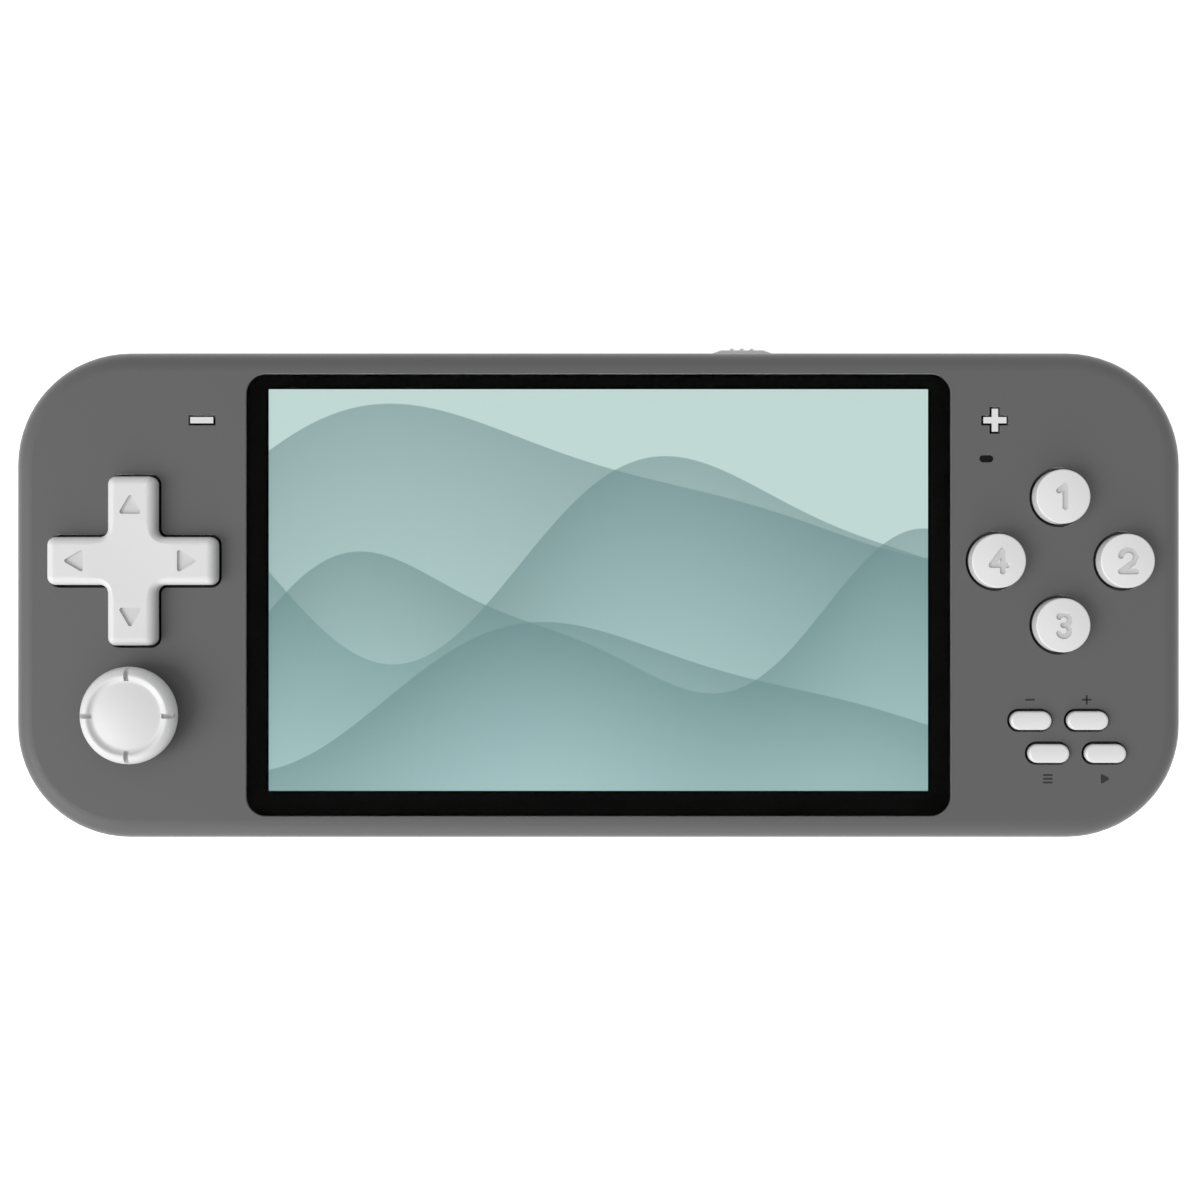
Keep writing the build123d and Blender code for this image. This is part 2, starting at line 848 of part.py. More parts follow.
def action_button(name):
    """Round button with a domed top, a sunk figure and a keyed skirt."""
    top = face + action_height
    rim = top - action_dome
    crown = (action_radius ** 2 + action_dome ** 2) / (2 * action_dome)
    cap = rod(0, 0, action_radius, skirt_low, top)
    cap &= Pos(0, 0, top - crown) * Sphere(crown)
    rim_edge = [e for e in cap.edges() if abs(e.center().Z - rim) < action_dome / 2]
    cap = fillet([e for e in rim_edge if e.geom_type == GeomType.CIRCLE], action_top_round)
    cap += slab(button_key(name, 0) + Circle(action_radius + action_skirt), skirt_low, skirt_top)
    cap -= slab(figure(name), top - figure_depth, top)
    x, y = action_places[name]
    return Pos(x, y) * cap


def button_key(name, margin):
    """Plan of the key that points away from the other buttons."""
    x, y = action_places[name]
    angle = math.degrees(math.atan2(y - action_y, x - action_x))
    reach = action_radius + action_skirt + action_key_length + margin
    bar = Rectangle(reach, action_key_width + 2 * margin, align=(Align.MIN, Align.CENTER))
    return Rot(0, 0, angle) * bar


def button_collar(name):
    """Ring under the front shell that guides one round button."""
    inner = action_radius + action_skirt + collar_gap
    plan = Circle(inner + collar_wall) - Circle(inner)
    plan -= button_key(name, collar_gap)
    return slab(plan, inside_top - collar_height, inside_top + front_wall / 2)


def action_membrane():
    """Rubber sheet with a dome under each action button."""
    reach = action_dome_radius + 2 * sheet_margin
    side = math.hypot(action_pitch, action_pitch)
    plan = Rectangle(side, side)
    plan = Rot(0, 0, 45) * offset(plan, reach)
    places = [(x - action_x, y - action_y) for x, y in action_places.values()]
    return Pos(action_x, action_y) * membrane(plan, places, action_dome_radius, skirt_low - dome_gap)


# Pill buttons and the small buttons

def pill_plan(margin):
    """Plan of a pill button with an even margin."""
    return SlotOverall(pill_length + 2 * margin, pill_width + 2 * margin)


def pill_button(name):
    """Low pill button with a crowned top, a soft edge and a hidden skirt."""
    top = face + pill_height
    vault = ((pill_width / 2) ** 2 + pill_crown ** 2) / (2 * pill_crown)
    cap = slab(pill_plan(0), skirt_low, top)
    cap &= Pos(0, 0, top - vault) * Rot(0, 90, 0) * Cylinder(vault, pill_length)
    cap = fillet(cap.faces().sort_by(Axis.Z)[-1].edges(), pill_top_round)
    cap += slab(pill_plan(pill_skirt), skirt_low, skirt_top)
    x, y = pill_places[name]
    return Pos(x, y) * cap


def menu_membrane():
    """Rubber sheet with a dome under each pill button."""
    places = list(pill_places.values())
    x_span = [min(x for x, y in places), max(x for x, y in places)]
    y_span = [min(y for x, y in places), max(y for x, y in places)]
    reach = 2 * (pill_dome_radius + 2 * sheet_margin)
    middle = Pos(sum(x_span) / 2, sum(y_span) / 2)
    plan = middle * RectangleRounded(x_span[1] - x_span[0] + reach, y_span[1] - y_span[0] + reach,
                                     pill_dome_radius)
    return membrane(plan, places, pill_dome_radius, skirt_low - dome_gap)


def plus_plan(margin):
    """Plan of the plus button with an even margin."""
    long = Rectangle(small_span + 2 * margin, small_arm + 2 * margin)
    return long + Rectangle(small_arm + 2 * margin, small_span + 2 * margin)


def minus_plan(margin):
    """Plan of the minus button with an even margin."""
    return Rectangle(small_span + 2 * margin, small_arm + 2 * margin)


def small_button(plan, x):
    """Nearly flush button on a round skirt."""
    cap = slab(plan, skirt_low, face + small_height)
    cap += slab(Circle(small_skirt_radius), skirt_low, skirt_top)
    return Pos(x, small_y) * cap


def face_tact_switches():
    """Two small switches on the board, under plus and minus."""
    switches = []
    tip = skirt_low - small_travel - switch_end_gap
    for x in (-small_x, small_x):
        body = block(around(x, switch_length), around(small_y, switch_width),
                     (board_top, board_top + switch_height))
        switches.append(body + rod(x, small_y, switch_plunger_radius, board_top + switch_height / 2, tip))
    return Compound(children=switches)


def light_plan(margin):
    """Plan of the status light window."""
    return Pos(light_x, light_y) * SlotOverall(light_length + 2 * margin, light_width + 2 * margin)


def status_lens():
    """Light pipe that fills the status light window."""
    low = board_top + led_thick + light_foot_gap - light_sink
    pipe = slab(light_plan(-light_gap), low, face - light_sink)
    return pipe + slab(light_plan(light_flange), inside_top - light_flange_thick, inside_top)


# Analog stick

def sphere_point(radius, angle):
    """Point of the stick's dome in its own section, measured from the pivot."""
    turn = math.radians(angle)
    return (radius * math.sin(turn), radius * math.cos(turn))


def sphere_angle(radius, reach):
    """Angle from the stick's axis at which a dome is that far out."""
    return math.degrees(math.asin(reach / radius))


def round_corner(plan, place, radius):
    """Round the corner of a plan that is nearest to a place."""
    corner = plan.vertices().sort_by_distance((*place, 0))[0]
    return fillet(corner, radius)


def stick_cap():
    """Thumb cap, neck and dome as one turned form, with four small notches."""
    outer = stick_skirt_radius
    inner = outer - stick_skirt_thick
    rise = face - stick_pivot
    corner_tilt = math.sqrt(2) * stick_tilt
    end = sphere_angle(outer, stick_hole_radius) + corner_tilt + stick_skirt_spare
    bore = stem_radius + stem_fit
    bore_angle = sphere_angle(inner, bore)
    neck_angle = sphere_angle(outer, stick_neck_radius)
    crest = (stick_crest_radius, rise + stick_crest_height)
    widest = (stick_cap_radius, rise + stick_cap_height)
    bend = math.sqrt(1 / 2)
    shoulder = (crest[0] + bend * (widest[0] - crest[0]), widest[1] + bend * (crest[1] - widest[1]))
    under = (stick_under_radius, rise + stick_under_height)
    valley = (stick_valley_radius, crest[1] - stick_valley_drop)
    middle = (0, crest[1] - stick_middle_drop)
    crown_rise = middle[1] - valley[1]
    crown = (stick_valley_radius ** 2 + crown_rise ** 2) / (2 * crown_rise)
    half_way = sphere_point(crown, sphere_angle(crown, stick_valley_radius) / 2)
    bulge = (half_way[0], half_way[1] + middle[1] - crown)
    bore_top = rise + stem_top_height + stem_fit
    section = Curve() + [
        ThreePointArc(sphere_point(inner, bore_angle), sphere_point(inner, end / 2),
                      sphere_point(inner, end)),
        Line(sphere_point(inner, end), sphere_point(outer, end)),
        ThreePointArc(sphere_point(outer, end), sphere_point(outer, end / 2),
                      sphere_point(outer, neck_angle)),
        Line(sphere_point(outer, neck_angle), (stick_neck_radius, rise + stick_neck_height)),
        Line((stick_neck_radius, rise + stick_neck_height), under),
        Line(under, widest),
        ThreePointArc(widest, shoulder, crest),
        Line(crest, valley),
        ThreePointArc(valley, bulge, middle),
        Line(middle, (0, bore_top)),
        Line((0, bore_top), (bore, bore_top)),
        Line((bore, bore_top), sphere_point(inner, bore_angle)),
    ]
    half_section = make_face(section)
    half_section = round_corner(half_section, crest, stick_crest_round)
    half_section = round_corner(half_section, valley, stick_valley_round)
    cap = revolve(Plane.XZ * half_section, Axis.Z)
    for turn in range(4):
        cut = block((stick_notch_inner, stick_notch_outer), around(0, stick_notch_width),
                    (crest[1] - stick_notch_depth, crest[1] + overrun))
        cap -= Rot(0, 0, 90 * turn) * cut
    return at_stick(cap)


def at_stick(solid):
    """Place a piece that was drawn about the stick's pivot."""
    return Pos(stick_x, stick_y, stick_pivot) * solid


def stick_stem():
    """Stem with a cross-bored block at the pivot."""
    width, depth, height = stem_block
    stem = Box(width, depth, height)
    stem += rod(0, 0, stem_radius, 0, face - stick_pivot + stem_top_height)
    stem -= Rot(0, 90, 0) * Cylinder(gimbal_pin_radius + pivot_gap, width + overrun)
    return at_stick(stem)


def stick_swing_yoke():
    """Frame that carries the stem on a pin along X and turns about Y."""
    inner = (stem_block[0] / 2 + gimbal_gap, yoke_half_depth - yoke_wall)
    yoke = Box(2 * yoke_half_width, 2 * yoke_half_depth, 2 * yoke_half_height)
    yoke -= Box(2 * inner[0], 2 * inner[1], 2 * yoke_half_height + overrun)
    yoke += Rot(0, 90, 0) * Cylinder(gimbal_pin_radius, 2 * yoke_half_width)
    reach = base_span / 2 - pivot_gap
    for side in (-1, 1):
        trunnion = Cylinder(trunnion_radius, reach - inner[1])
        yoke += Pos(0, side * (reach + inner[1]) / 2) * Rot(90, 0, 0) * trunnion
    return at_stick(yoke)


def stick_slotted_arch():
    """Arch over the yoke that turns about X and lets the stem slide along its slot."""
    outer_radius = arch_inner_radius + arch_wall
    ring = Circle(outer_radius) - Circle(arch_inner_radius)
    upper = Rectangle(2 * outer_radius, outer_radius, align=(Align.CENTER, Align.MIN))
    arch = Rot(90, 0, 0) * extrude(ring & upper, arch_half_width, both=True)
    slot_angle = math.radians(stick_tilt) + math.asin(stem_radius / arch_inner_radius)
    slot_reach = outer_radius * math.sin(slot_angle) + arch_slot_spare
    slot_half = stem_radius + arch_slot_gap
    arch -= block((-slot_reach, slot_reach), (-slot_half, slot_half), (0, outer_radius + overrun))
    reach = base_span / 2 - pivot_gap
    middle = (arch_inner_radius + arch_wall / 2 + reach) / 2
    length = reach - arch_inner_radius - arch_wall / 2
    for side in (-1, 1):
        arch += Pos(side * middle, 0) * Rot(0, 90, 0) * Cylinder(trunnion_radius, length)
    return at_stick(arch)


def stick_base():
    """Open box that carries the gimbal, hung on the board by four corner tabs."""
    half = base_span / 2
    low = -(base_depth - stick_pivot_drop)
    top = stick_pivot_drop + base_rise
    box = block((-half, half), (-half, half), (low, top))
    inner = half - base_wall
    box -= block((-inner, inner), (-inner, inner), (low + base_wall, top + overrun))
    tab_low = stick_pivot_drop + board_thick
    for x_side in (-1, 1):
        for y_side in (-1, 1):
            near = half - base_tab_inset
            far = half + base_tab_reach
            riser = block((near, half), (near, half), (top - base_wall, tab_low + base_tab_thick))
            tab = block((near, far), (near, far), (tab_low, tab_low + base_tab_thick))
            corner = riser + tab
            if x_side < 0:
                corner = mirror(corner, about=Plane.YZ)
            if y_side < 0:
                corner = mirror(corner, about=Plane.XZ)
            box += corner
    bore = Cylinder(trunnion_radius + pivot_gap, base_span + overrun)
    box -= Rot(0, 90, 0) * bore
    box -= Rot(90, 0, 0) * bore
    return at_stick(box)


def stick_potentiometers():
    """Two position sensors on the sides of the stick base."""
    half = base_span / 2
    z_span = (stick_pivot_drop - sensor_height - base_board_gap, stick_pivot_drop - base_board_gap)
    across = (-sensor_length / 2, sensor_length / 2)
    first = block((half, half + sensor_thick), across, z_span)
    second = block(across, (-half - sensor_thick, -half), z_span)
    return Compound(children=[at_stick(first), at_stick(second)])


def stick_spring():
    """Small coil spring that centres the stem."""
    low = -(base_depth - stick_pivot_drop) + base_wall + spring_wire + spring_gap
    high = -stem_block[2] / 2 - spring_wire - spring_gap
    path = Helix(spring_pitch, high - low, spring_radius, center=(0, 0, low))
    section = Plane(origin=path @ 0, z_dir=path % 0) * Circle(spring_wire)
    return at_stick(sweep(section, path=path, is_frenet=True))


# Slide switch

def slide_slot():
    """Slot in the top wall for the slide switch knob."""
    x_span = (slide_x - knob_length / 2 - slide_travel - slot_end_gap,
              slide_x + knob_length / 2 + slot_end_gap)
    return block(x_span, (half_width - wall - overrun, half_width + overrun),
                 around(slide_z, knob_high + 2 * slot_side_gap))


def power_switch_knob():
    """Knob with three ridges, an inner flange and a fork for the lever."""
    half = knob_length / 2
    inner = half_width - wall - slide_flange_gap
    base = half_width + knob_base_proud
    top = half_width + knob_proud
    plan = Polyline(
        (-half, inner), (half, inner), (half, base), (half - knob_foot, base),
        (half - knob_foot - knob_end_slope, top), (-half + knob_foot + knob_end_slope, top),
        (-half + knob_foot, base), (-half, base), close=True)
    knob = slab(Pos(slide_x, 0) * make_face(plan), *around(slide_z, knob_high))
    for index in range(ridge_count):
        x = slide_x + (index - (ridge_count - 1) / 2) * ridge_pitch
        knob += block(around(x, ridge_width), (top - ridge_height, top + ridge_height),
                      around(slide_z, knob_high - 2 * knob_bevel))
    cover = knob_length + 2 * (slide_travel + slot_end_gap + slide_flange_cover)
    flange_high = knob_high + 2 * (slot_side_gap + slide_flange_margin)
    knob += block(around(slide_x, cover), (inner - slide_flange_thick, inner),
                  around(slide_z, flange_high))
    prong_y = (inner - slide_flange_thick - prong_length, inner)
    for side in (-1, 1):
        middle = slide_x + side * (lever_width / 2 + lever_gap + prong_thick / 2)
        knob += block(around(middle, prong_thick), prong_y, around(slide_z, lever_high))
    return knob


def slide_body_front():
    """Y of the switch body's front face."""
    return (half_width - wall - slide_flange_gap - slide_flange_thick - prong_length
            - switch_body_gap)


def power_switch_lever():
    """Lever between the knob's prongs, running in the switch body."""
    tip = half_width - wall - slide_flange_gap - slide_flange_thick - lever_gap
    return block(around(slide_x, lever_width), (slide_body_front() - lever_inside, tip),
                 around(slide_z, lever_high))


def power_switch_body():
    """Slide switch on the underside of the board."""
    length, depth, height = switch_body
    front = slide_body_front()
    body = block(around(slide_x - slide_travel / 2, length), (front - depth, front),
                 (board_low - height, board_low))
    slot = (slide_x - lever_width / 2 - slide_travel - lever_gap, slide_x + lever_width / 2 + lever_gap)
    body -= block(slot, (front - lever_inside - lever_gap, front + overrun),
                  around(slide_z, lever_high + 2 * lever_gap))
    return body


# Shoulder buttons

def right_shoulder_button():
    """Key that wraps the right corner and hinges on an upright pin."""
    levels = (shoulder_low, shoulder_high)
    skin = slab(outline(shoulder_proud), *levels) - slab(outline(-shoulder_inside), *levels)
    skin &= block((shoulder_start, shoulder_end), (0, body_width), levels)
    outer = [e for e in skin.edges() if (e @ 0.5).Y > skin_edge_level(e)]
    skin = fillet(outer, shoulder_edge)
    behind = wall + shoulder_wall_gap
    lug_radius = shoulder_pin_radius + shoulder_lug_wall
    lug_y = around(shoulder_pin_y, 2 * lug_radius)
    key = skin + block((shoulder_start, shoulder_start + shoulder_bridge),
                       (lug_y[0], half_width - shoulder_inside / 2), levels)
    key += block((shoulder_pin_x, shoulder_start + shoulder_bridge), lug_y, levels)
    key += rod(shoulder_pin_x, shoulder_pin_y, lug_radius, *levels)
    key -= rod(shoulder_pin_x, shoulder_pin_y, shoulder_pin_radius + shoulder_pin_gap, *levels)
    stop_levels = (shoulder_low + shoulder_stop_inset, shoulder_high - shoulder_stop_inset)
    inner = slab(outline(-behind - shoulder_stop_thick), *stop_levels)
    stop = slab(outline(-behind), *stop_levels) - inner
    stop &= block((shoulder_end - shoulder_bridge, shoulder_end + shoulder_stop_reach),
                  (0, body_width), stop_levels)
    web = slab(outline(0), *stop_levels) - inner
    web &= block((shoulder_end - shoulder_bridge, shoulder_end), (0, body_width), stop_levels)
    key += stop + web
    travel = math.tan(math.radians(shoulder_swing)) * (shoulder_switch_x - shoulder_pin_x)
    pusher_tip = shoulder_switch_front() + shoulder_plunger[1] + travel + switch_end_gap
    key += block(around(shoulder_switch_x, shoulder_pusher_width),
                 (pusher_tip, half_width - shoulder_inside / 2), stop_levels)
    return key


def skin_edge_level(edge):
    """Y above which an edge of the key lies on its outer side."""
    x = (edge @ 0.5).X
    radius = body_corner + (shoulder_proud - shoulder_inside) / 2
    reach = max(x - (half_length - body_corner), 0)
    return half_width - body_corner + math.sqrt(radius ** 2 - reach ** 2)


def shoulder_switch_front():
    """Y of the front face of the shoulder switches."""
    travel = math.tan(math.radians(shoulder_swing)) * (shoulder_switch_x - shoulder_pin_x)
    return shoulder_pin_y - shoulder_pin_radius - shoulder_plunger[1] - travel


def shoulder_pins():
    """Two hinge pins, standing in bosses of the rear shell."""
    pins = []
    for side in (-1, 1):
        pins.append(rod(side * shoulder_pin_x, shoulder_pin_y, shoulder_pin_radius, wall,
                        board_low - pin_end_gap))
    return Compound(children=pins)


def shoulder_switches():
    """Two side switches on the underside of the board."""
    switches = []
    length, depth, height = shoulder_switch
    plunger_length, plunger_reach, plunger_high = shoulder_plunger
    front = shoulder_switch_front()
    for side in (-1, 1):
        x = side * shoulder_switch_x
        body = block(around(x, length), (front - depth, front), (board_low - height, board_low))
        body += block(around(x, plunger_length), (front - depth / 2, front + plunger_reach),
                      around(shoulder_mid, plunger_high))
        switches.append(body)
    return Compound(children=switches)


# Sockets

def usb_middle():
    """Height of the USB socket's middle."""
    return board_low - usb_size[2] / 2


def usb_plan(margin):
    """Section of the USB socket with an even margin."""
    return SlotOverall(usb_size[0] + 2 * margin, usb_size[2] + 2 * margin)


def along_y(plan, x, z, start, end):
    """A section raised along Y between two values."""
    place = Plane(origin=(x, start, z), x_dir=(1, 0, 0), z_dir=(0, 1, 0))
    return extrude(place * plan, end - start)


def usb_port():
    """Port in the top wall for the USB socket."""
    return along_y(usb_plan(usb_port_gap), 0, usb_middle(), half_width - wall - overrun,
                   half_width + overrun)


def usb_socket():
    """USB socket with its tongue, under the board."""
    mouth = half_width - usb_sink
    back = mouth - usb_size[1]
    shell = along_y(usb_plan(0), 0, usb_middle(), back, mouth)
    shell -= along_y(usb_plan(-usb_wall), 0, usb_middle(), mouth - usb_depth, mouth + overrun)
    tongue_back = mouth - usb_depth
    tongue = block(around(0, usb_tongue[0]), (tongue_back, tongue_back + usb_tongue[1]),
                   around(usb_middle(), usb_tongue[2]))
    return shell + tongue


def card_middle():
    """Height of the card slot."""
    return board_low - card_size[2] / 2


def card_port():
    """Port in the top wall for a memory card."""
    return block(around(card_x, card_slot[0] + 2 * card_port_gap),
                 (half_width - wall - overrun, half_width + overrun),
                 around(card_middle(), card_slot[2] + 2 * card_port_gap))


def card_socket():
    """Memory card socket under the board."""
    front = half_width - wall - card_wall_gap
    body = block(around(card_x, card_size[0]), (front - card_size[1], front),
                 (board_low - card_size[2], board_low))
    return body - block(around(card_x, card_slot[0]), (front - card_slot[1], front + overrun),
                        around(card_middle(), card_slot[2]))


def jack_middle():
    """Height of the headphone jack's bore."""
    return board_low - jack_size[2] / 2


def jack_port():
    """Round port in the bottom wall for the headphone jack."""
    return along_y(Circle(jack_nose_radius + jack_port_gap), jack_x, jack_middle(),
                   -half_width - overrun, -half_width + wall + overrun)


def headphone_jack():
    """Headphone jack with a round nose and a blind bore."""
    nose = -half_width + jack_nose_sink
    front = -half_width + wall + jack_wall_gap
    body = block(around(jack_x, jack_size[0]), (front, front + jack_size[1]),
                 (board_low - jack_size[2], board_low))
    body += along_y(Circle(jack_nose_radius), jack_x, jack_middle(), nose, front + jack_size[1] / 2)
    return body - along_y(Circle(jack_bore_radius), jack_x, jack_middle(), nose - overrun,
                          nose + jack_bore_depth)


# Board, battery and speakers

def main_board():
    """Circuit board with room for the stick, the bosses and the screws."""
    board = slab(RectangleRounded(board_length, board_width, board_corner), board_low, board_top)
    hole = base_span + 2 * base_board_gap
    board -= block(around(stick_x, hole), around(stick_y, hole), (board_low, board_top))
    for x, y in case_screw_places:
        board -= rod(x, y, case_boss_radius + case_board_gap, board_low, board_top)
    for x, y in post_places:
        board -= rod(x, y, board_shank_radius + board_hole_gap, board_low, board_top)
    return board


def board_chips():
    """Chips on the board and the status light under its window."""
    chips = []
    for (length, width, height), (x_share, y_share) in chip_shares:
        x_span = around(x_share * board_length / 2, length)
        y_span = around(y_share * board_width / 2, width)
        chips.append(block(x_span, y_span, (board_top, board_top + height)))
    chips.append(block(around(light_x, light_length), around(light_y, light_width),
                       (board_top, board_top + led_thick)))
    return Compound(children=chips)


def ribbon_end():
    """Y of the ribbon's end at its connector."""
    return -tray_width / 2 - ribbon_bulge + ribbon_reach


def battery_plug_x():
    """X of the battery connector's middle."""
    return battery_length / 2 + battery_plug_gap


def speaker_plug_x():
    """X of the speaker connectors' middle, right side."""
    return abs(dpad_x) - speaker_radius - speaker_plug[0]


def board_connectors():
    """Connectors for the ribbon, the battery and the speakers."""
    plugs = [block(around(0, ribbon_plug[0]), (ribbon_end(), ribbon_end() + ribbon_plug[1]),
                   (board_top, board_top + ribbon_plug[2]))]
    plugs.append(block(around(battery_plug_x(), battery_plug[0]),
                       around(battery_y + battery_width / 4, battery_plug[1]),
                       (board_low - battery_plug[2], board_low)))
    for side in (-1, 1):
        plugs.append(block(around(side * speaker_plug_x(), speaker_plug[0]),
                           around(speaker_y, speaker_plug[1]),
                           (board_low - speaker_plug[2], board_low)))
    return Compound(children=plugs)


def battery_plan(margin):
    """Plan of the battery with an even margin."""
    return Pos(0, battery_y) * Rectangle(battery_length + 2 * margin, battery_width + 2 * margin)


def battery():
    """Flat battery with soft long edges."""
    low = wall + tape_thick
    cell = slab(battery_plan(0), low, board_low - battery_headroom)
    return fillet(cell.edges().filter_by(Axis.Y), battery_round)


def battery_tape():
    """Two strips of tape that hold the battery to the rear shell."""
    strips = []
    width = battery_width / 2 - tape_inset
    for side in (-1, 1):
        y = battery_y + side * battery_width / 4
        strips.append(block(around(0, battery_length - 2 * tape_inset), around(y, width),
                            (wall, wall + tape_thick)))
    return Compound(children=strips)


def battery_leads():
    """Two wires from the battery to the board."""
    wires = []
    z = (wall + tape_thick + board_low - battery_headroom) / 2
    for side in (-1, 1):
        y = battery_y + battery_width / 4 + side * wire_pitch / 2
        points = [(battery_length / 2, y, z), (battery_plug_x(), y, z),
                  (battery_plug_x(), y, board_low - battery_plug[2])]
        wires.append(wire(points))
    return Compound(children=wires)


def speaker(x):
    """Round speaker that lies on the rear shell and sounds through its slots."""
    frame_top = wall + speaker_frame_height
    profile = Polyline(
        (0, wall + speaker_cone_depth), (speaker_magnet_radius / 2, wall + speaker_cone_depth),
        (speaker_cone_radius, wall), (speaker_radius, wall), (speaker_radius, frame_top),
        (speaker_magnet_radius, wall + speaker_height / 2),
        (speaker_magnet_radius, wall + speaker_height), (0, wall + speaker_height), close=True)
    return Pos(x, speaker_y) * revolve(Plane.XZ * make_face(profile), Axis.Z)


def speaker_leads():
    """Two wires from each speaker to the board."""
    wires = []
    z = wall + (speaker_frame_height + speaker_height / 2) / 2 + speaker_height / 4
    for side in (-1, 1):
        for shift in (-1, 1):
            y = speaker_y + shift * wire_pitch / 2
            start = abs(dpad_x) - speaker_magnet_radius
            points = [(side * start, y, z), (side * speaker_plug_x(), y, z),
                      (side * speaker_plug_x(), y, board_low - speaker_plug[2])]
            wires.append(wire(points))
    return Compound(children=wires)


def build_pieces():
    """Every piece under the name of its node."""
    pieces = {
        "front_shell": front_shell(),
        "rear_shell": rear_shell(),
        "case_screws": case_screws(),
        "board_screws": board_screws(),
        "screen_lens": screen_lens(),
        "lens_border": lens_border(),
        "display_foam": display_foam(),
        "display_panel": display_panel(),
        "display_backlight": display_backlight(),
        "display_tray": display_tray(),
        "display_ribbon": display_ribbon(),
        "dpad_cap": dpad_cap(),
        "dpad_pivot_ball": dpad_pivot_ball(),
        "dpad_pivot_post": dpad_pivot_post(),
        "dpad_membrane": dpad_membrane(),
        "action_membrane": action_membrane(),
        "menu_membrane": menu_membrane(),
        "plus_button": small_button(plus_plan(0), small_x),
        "minus_button": small_button(minus_plan(0), -small_x),
        "face_tact_switches": face_tact_switches(),
        "status_lens": status_lens(),
        "stick_cap": stick_cap(),
        "stick_stem": stick_stem(),
        "stick_swing_yoke": stick_swing_yoke(),
        "stick_slotted_arch": stick_slotted_arch(),
        "stick_base": stick_base(),
        "stick_potentiometers": stick_potentiometers(),
        "stick_spring": stick_spring(),
        "power_switch_knob": power_switch_knob(),
        "power_switch_lever": power_switch_lever(),
        "power_switch_body": power_switch_body(),
        "right_shoulder_button": right_shoulder_button(),
        "shoulder_pins": shoulder_pins(),
        "shoulder_switches": shoulder_switches(),
        "usb_socket": usb_socket(),
        "card_socket": card_socket(),
        "headphone_jack": headphone_jack(),
        "main_board": main_board(),
        "board_chips": board_chips(),
        "board_connectors": board_connectors(),
        "battery": battery(),
        "battery_tape": battery_tape(),
        "battery_leads": battery_leads(),
        "speaker_left": speaker(dpad_x),
        "speaker_right": speaker(-dpad_x),
        "speaker_leads": speaker_leads(),
    }
    pieces["left_shoulder_button"] = mirror(pieces["right_shoulder_button"], about=Plane.YZ)
    for name in action_places:
        pieces[f"action_button_{name}"] = action_button(name)
    for name in pill_places:
        pieces[f"{name}_button"] = pill_button(name)
    return pieces


os.makedirs("parts", exist_ok=True)
for node, piece in build_pieces().items():
    export_step(piece, f"parts/{node}.step")
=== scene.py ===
# %% [markdown]
# # A handheld game console, dressed for the camera
# The frame brings every solid of the console to its place: shells, buttons, stick, screen and all
# that works behind them. This lesson gives each of them its finish, adds the thin printed marks
# and small inner details that solids alone don't show, and sets up camera, floor and light.

import bpy
import numpy as np
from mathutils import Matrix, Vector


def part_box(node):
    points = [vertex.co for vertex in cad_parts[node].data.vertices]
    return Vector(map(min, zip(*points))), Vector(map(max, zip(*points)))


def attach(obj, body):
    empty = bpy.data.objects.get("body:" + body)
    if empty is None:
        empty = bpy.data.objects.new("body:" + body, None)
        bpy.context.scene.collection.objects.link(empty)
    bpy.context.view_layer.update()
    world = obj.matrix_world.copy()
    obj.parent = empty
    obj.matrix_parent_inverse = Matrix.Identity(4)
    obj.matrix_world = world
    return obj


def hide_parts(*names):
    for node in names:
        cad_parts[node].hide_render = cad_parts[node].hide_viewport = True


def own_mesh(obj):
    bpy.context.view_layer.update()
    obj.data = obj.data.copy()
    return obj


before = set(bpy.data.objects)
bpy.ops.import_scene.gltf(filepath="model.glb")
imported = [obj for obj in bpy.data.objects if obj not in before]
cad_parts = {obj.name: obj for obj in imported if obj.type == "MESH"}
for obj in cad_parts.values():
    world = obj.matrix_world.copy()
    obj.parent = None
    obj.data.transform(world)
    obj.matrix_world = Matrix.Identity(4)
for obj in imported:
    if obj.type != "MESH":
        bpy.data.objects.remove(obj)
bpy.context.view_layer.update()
mm = 0.001

# %% [markdown]
# ## Camera
# The picture is taken from straight above the face. The camera is a bare 0.25 m away, which is
# why the tall button caps lean outwards a little and show their left or right sides. A 50 mm lens
# on a 36 mm sensor frames the whole console with white all round it.

# %% Camera
camera_place = (0.23 * mm, -0.68 * mm, 250.6 * mm)
camera_lens = 50
sensor_width = 36
nearest_seen = 10 * mm

camera_data = bpy.data.cameras.new("overhead_camera")
camera_data.lens = camera_lens
camera_data.sensor_width = sensor_width
camera_data.clip_start = nearest_seen
camera = bpy.data.objects.new("overhead_camera", camera_data)
camera.location = camera_place
bpy.context.scene.collection.objects.link(camera)
bpy.context.scene.camera = camera
bpy.context.scene.view_settings.view_transform = "Standard"
print("camera height in mm", round(camera.location.z / mm, 1))

# %% [markdown]
# ## A helper for nodes
# Every finish below is a small network of nodes. One helper adds a node, sets its options and
# fills its sockets, either with a plain value or with a link from another node's output, so that
# a network reads like a list of steps.

# %% Node helpers
def add_node(tree, kind, sockets=None, **options):
    """Add one node; a socket is given a value, or linked where an output is handed in."""
    node = tree.nodes.new(kind)
    for name, value in options.items():
        setattr(node, name, value)
    for name, value in (sockets or {}).items():
        if isinstance(value, bpy.types.NodeSocket):
            tree.links.new(value, node.inputs[name])
        else:
            node.inputs[name].default_value = value
    return node


def math_node(tree, operation, first, second=0.0, third=0.0, clamp=False):
    """One sum of up to three values, each a number or an output."""
    sockets = {0: first, 1: second, 2: third}
    node = add_node(tree, "ShaderNodeMath", sockets, operation=operation, use_clamp=clamp)
    return node.outputs[0]


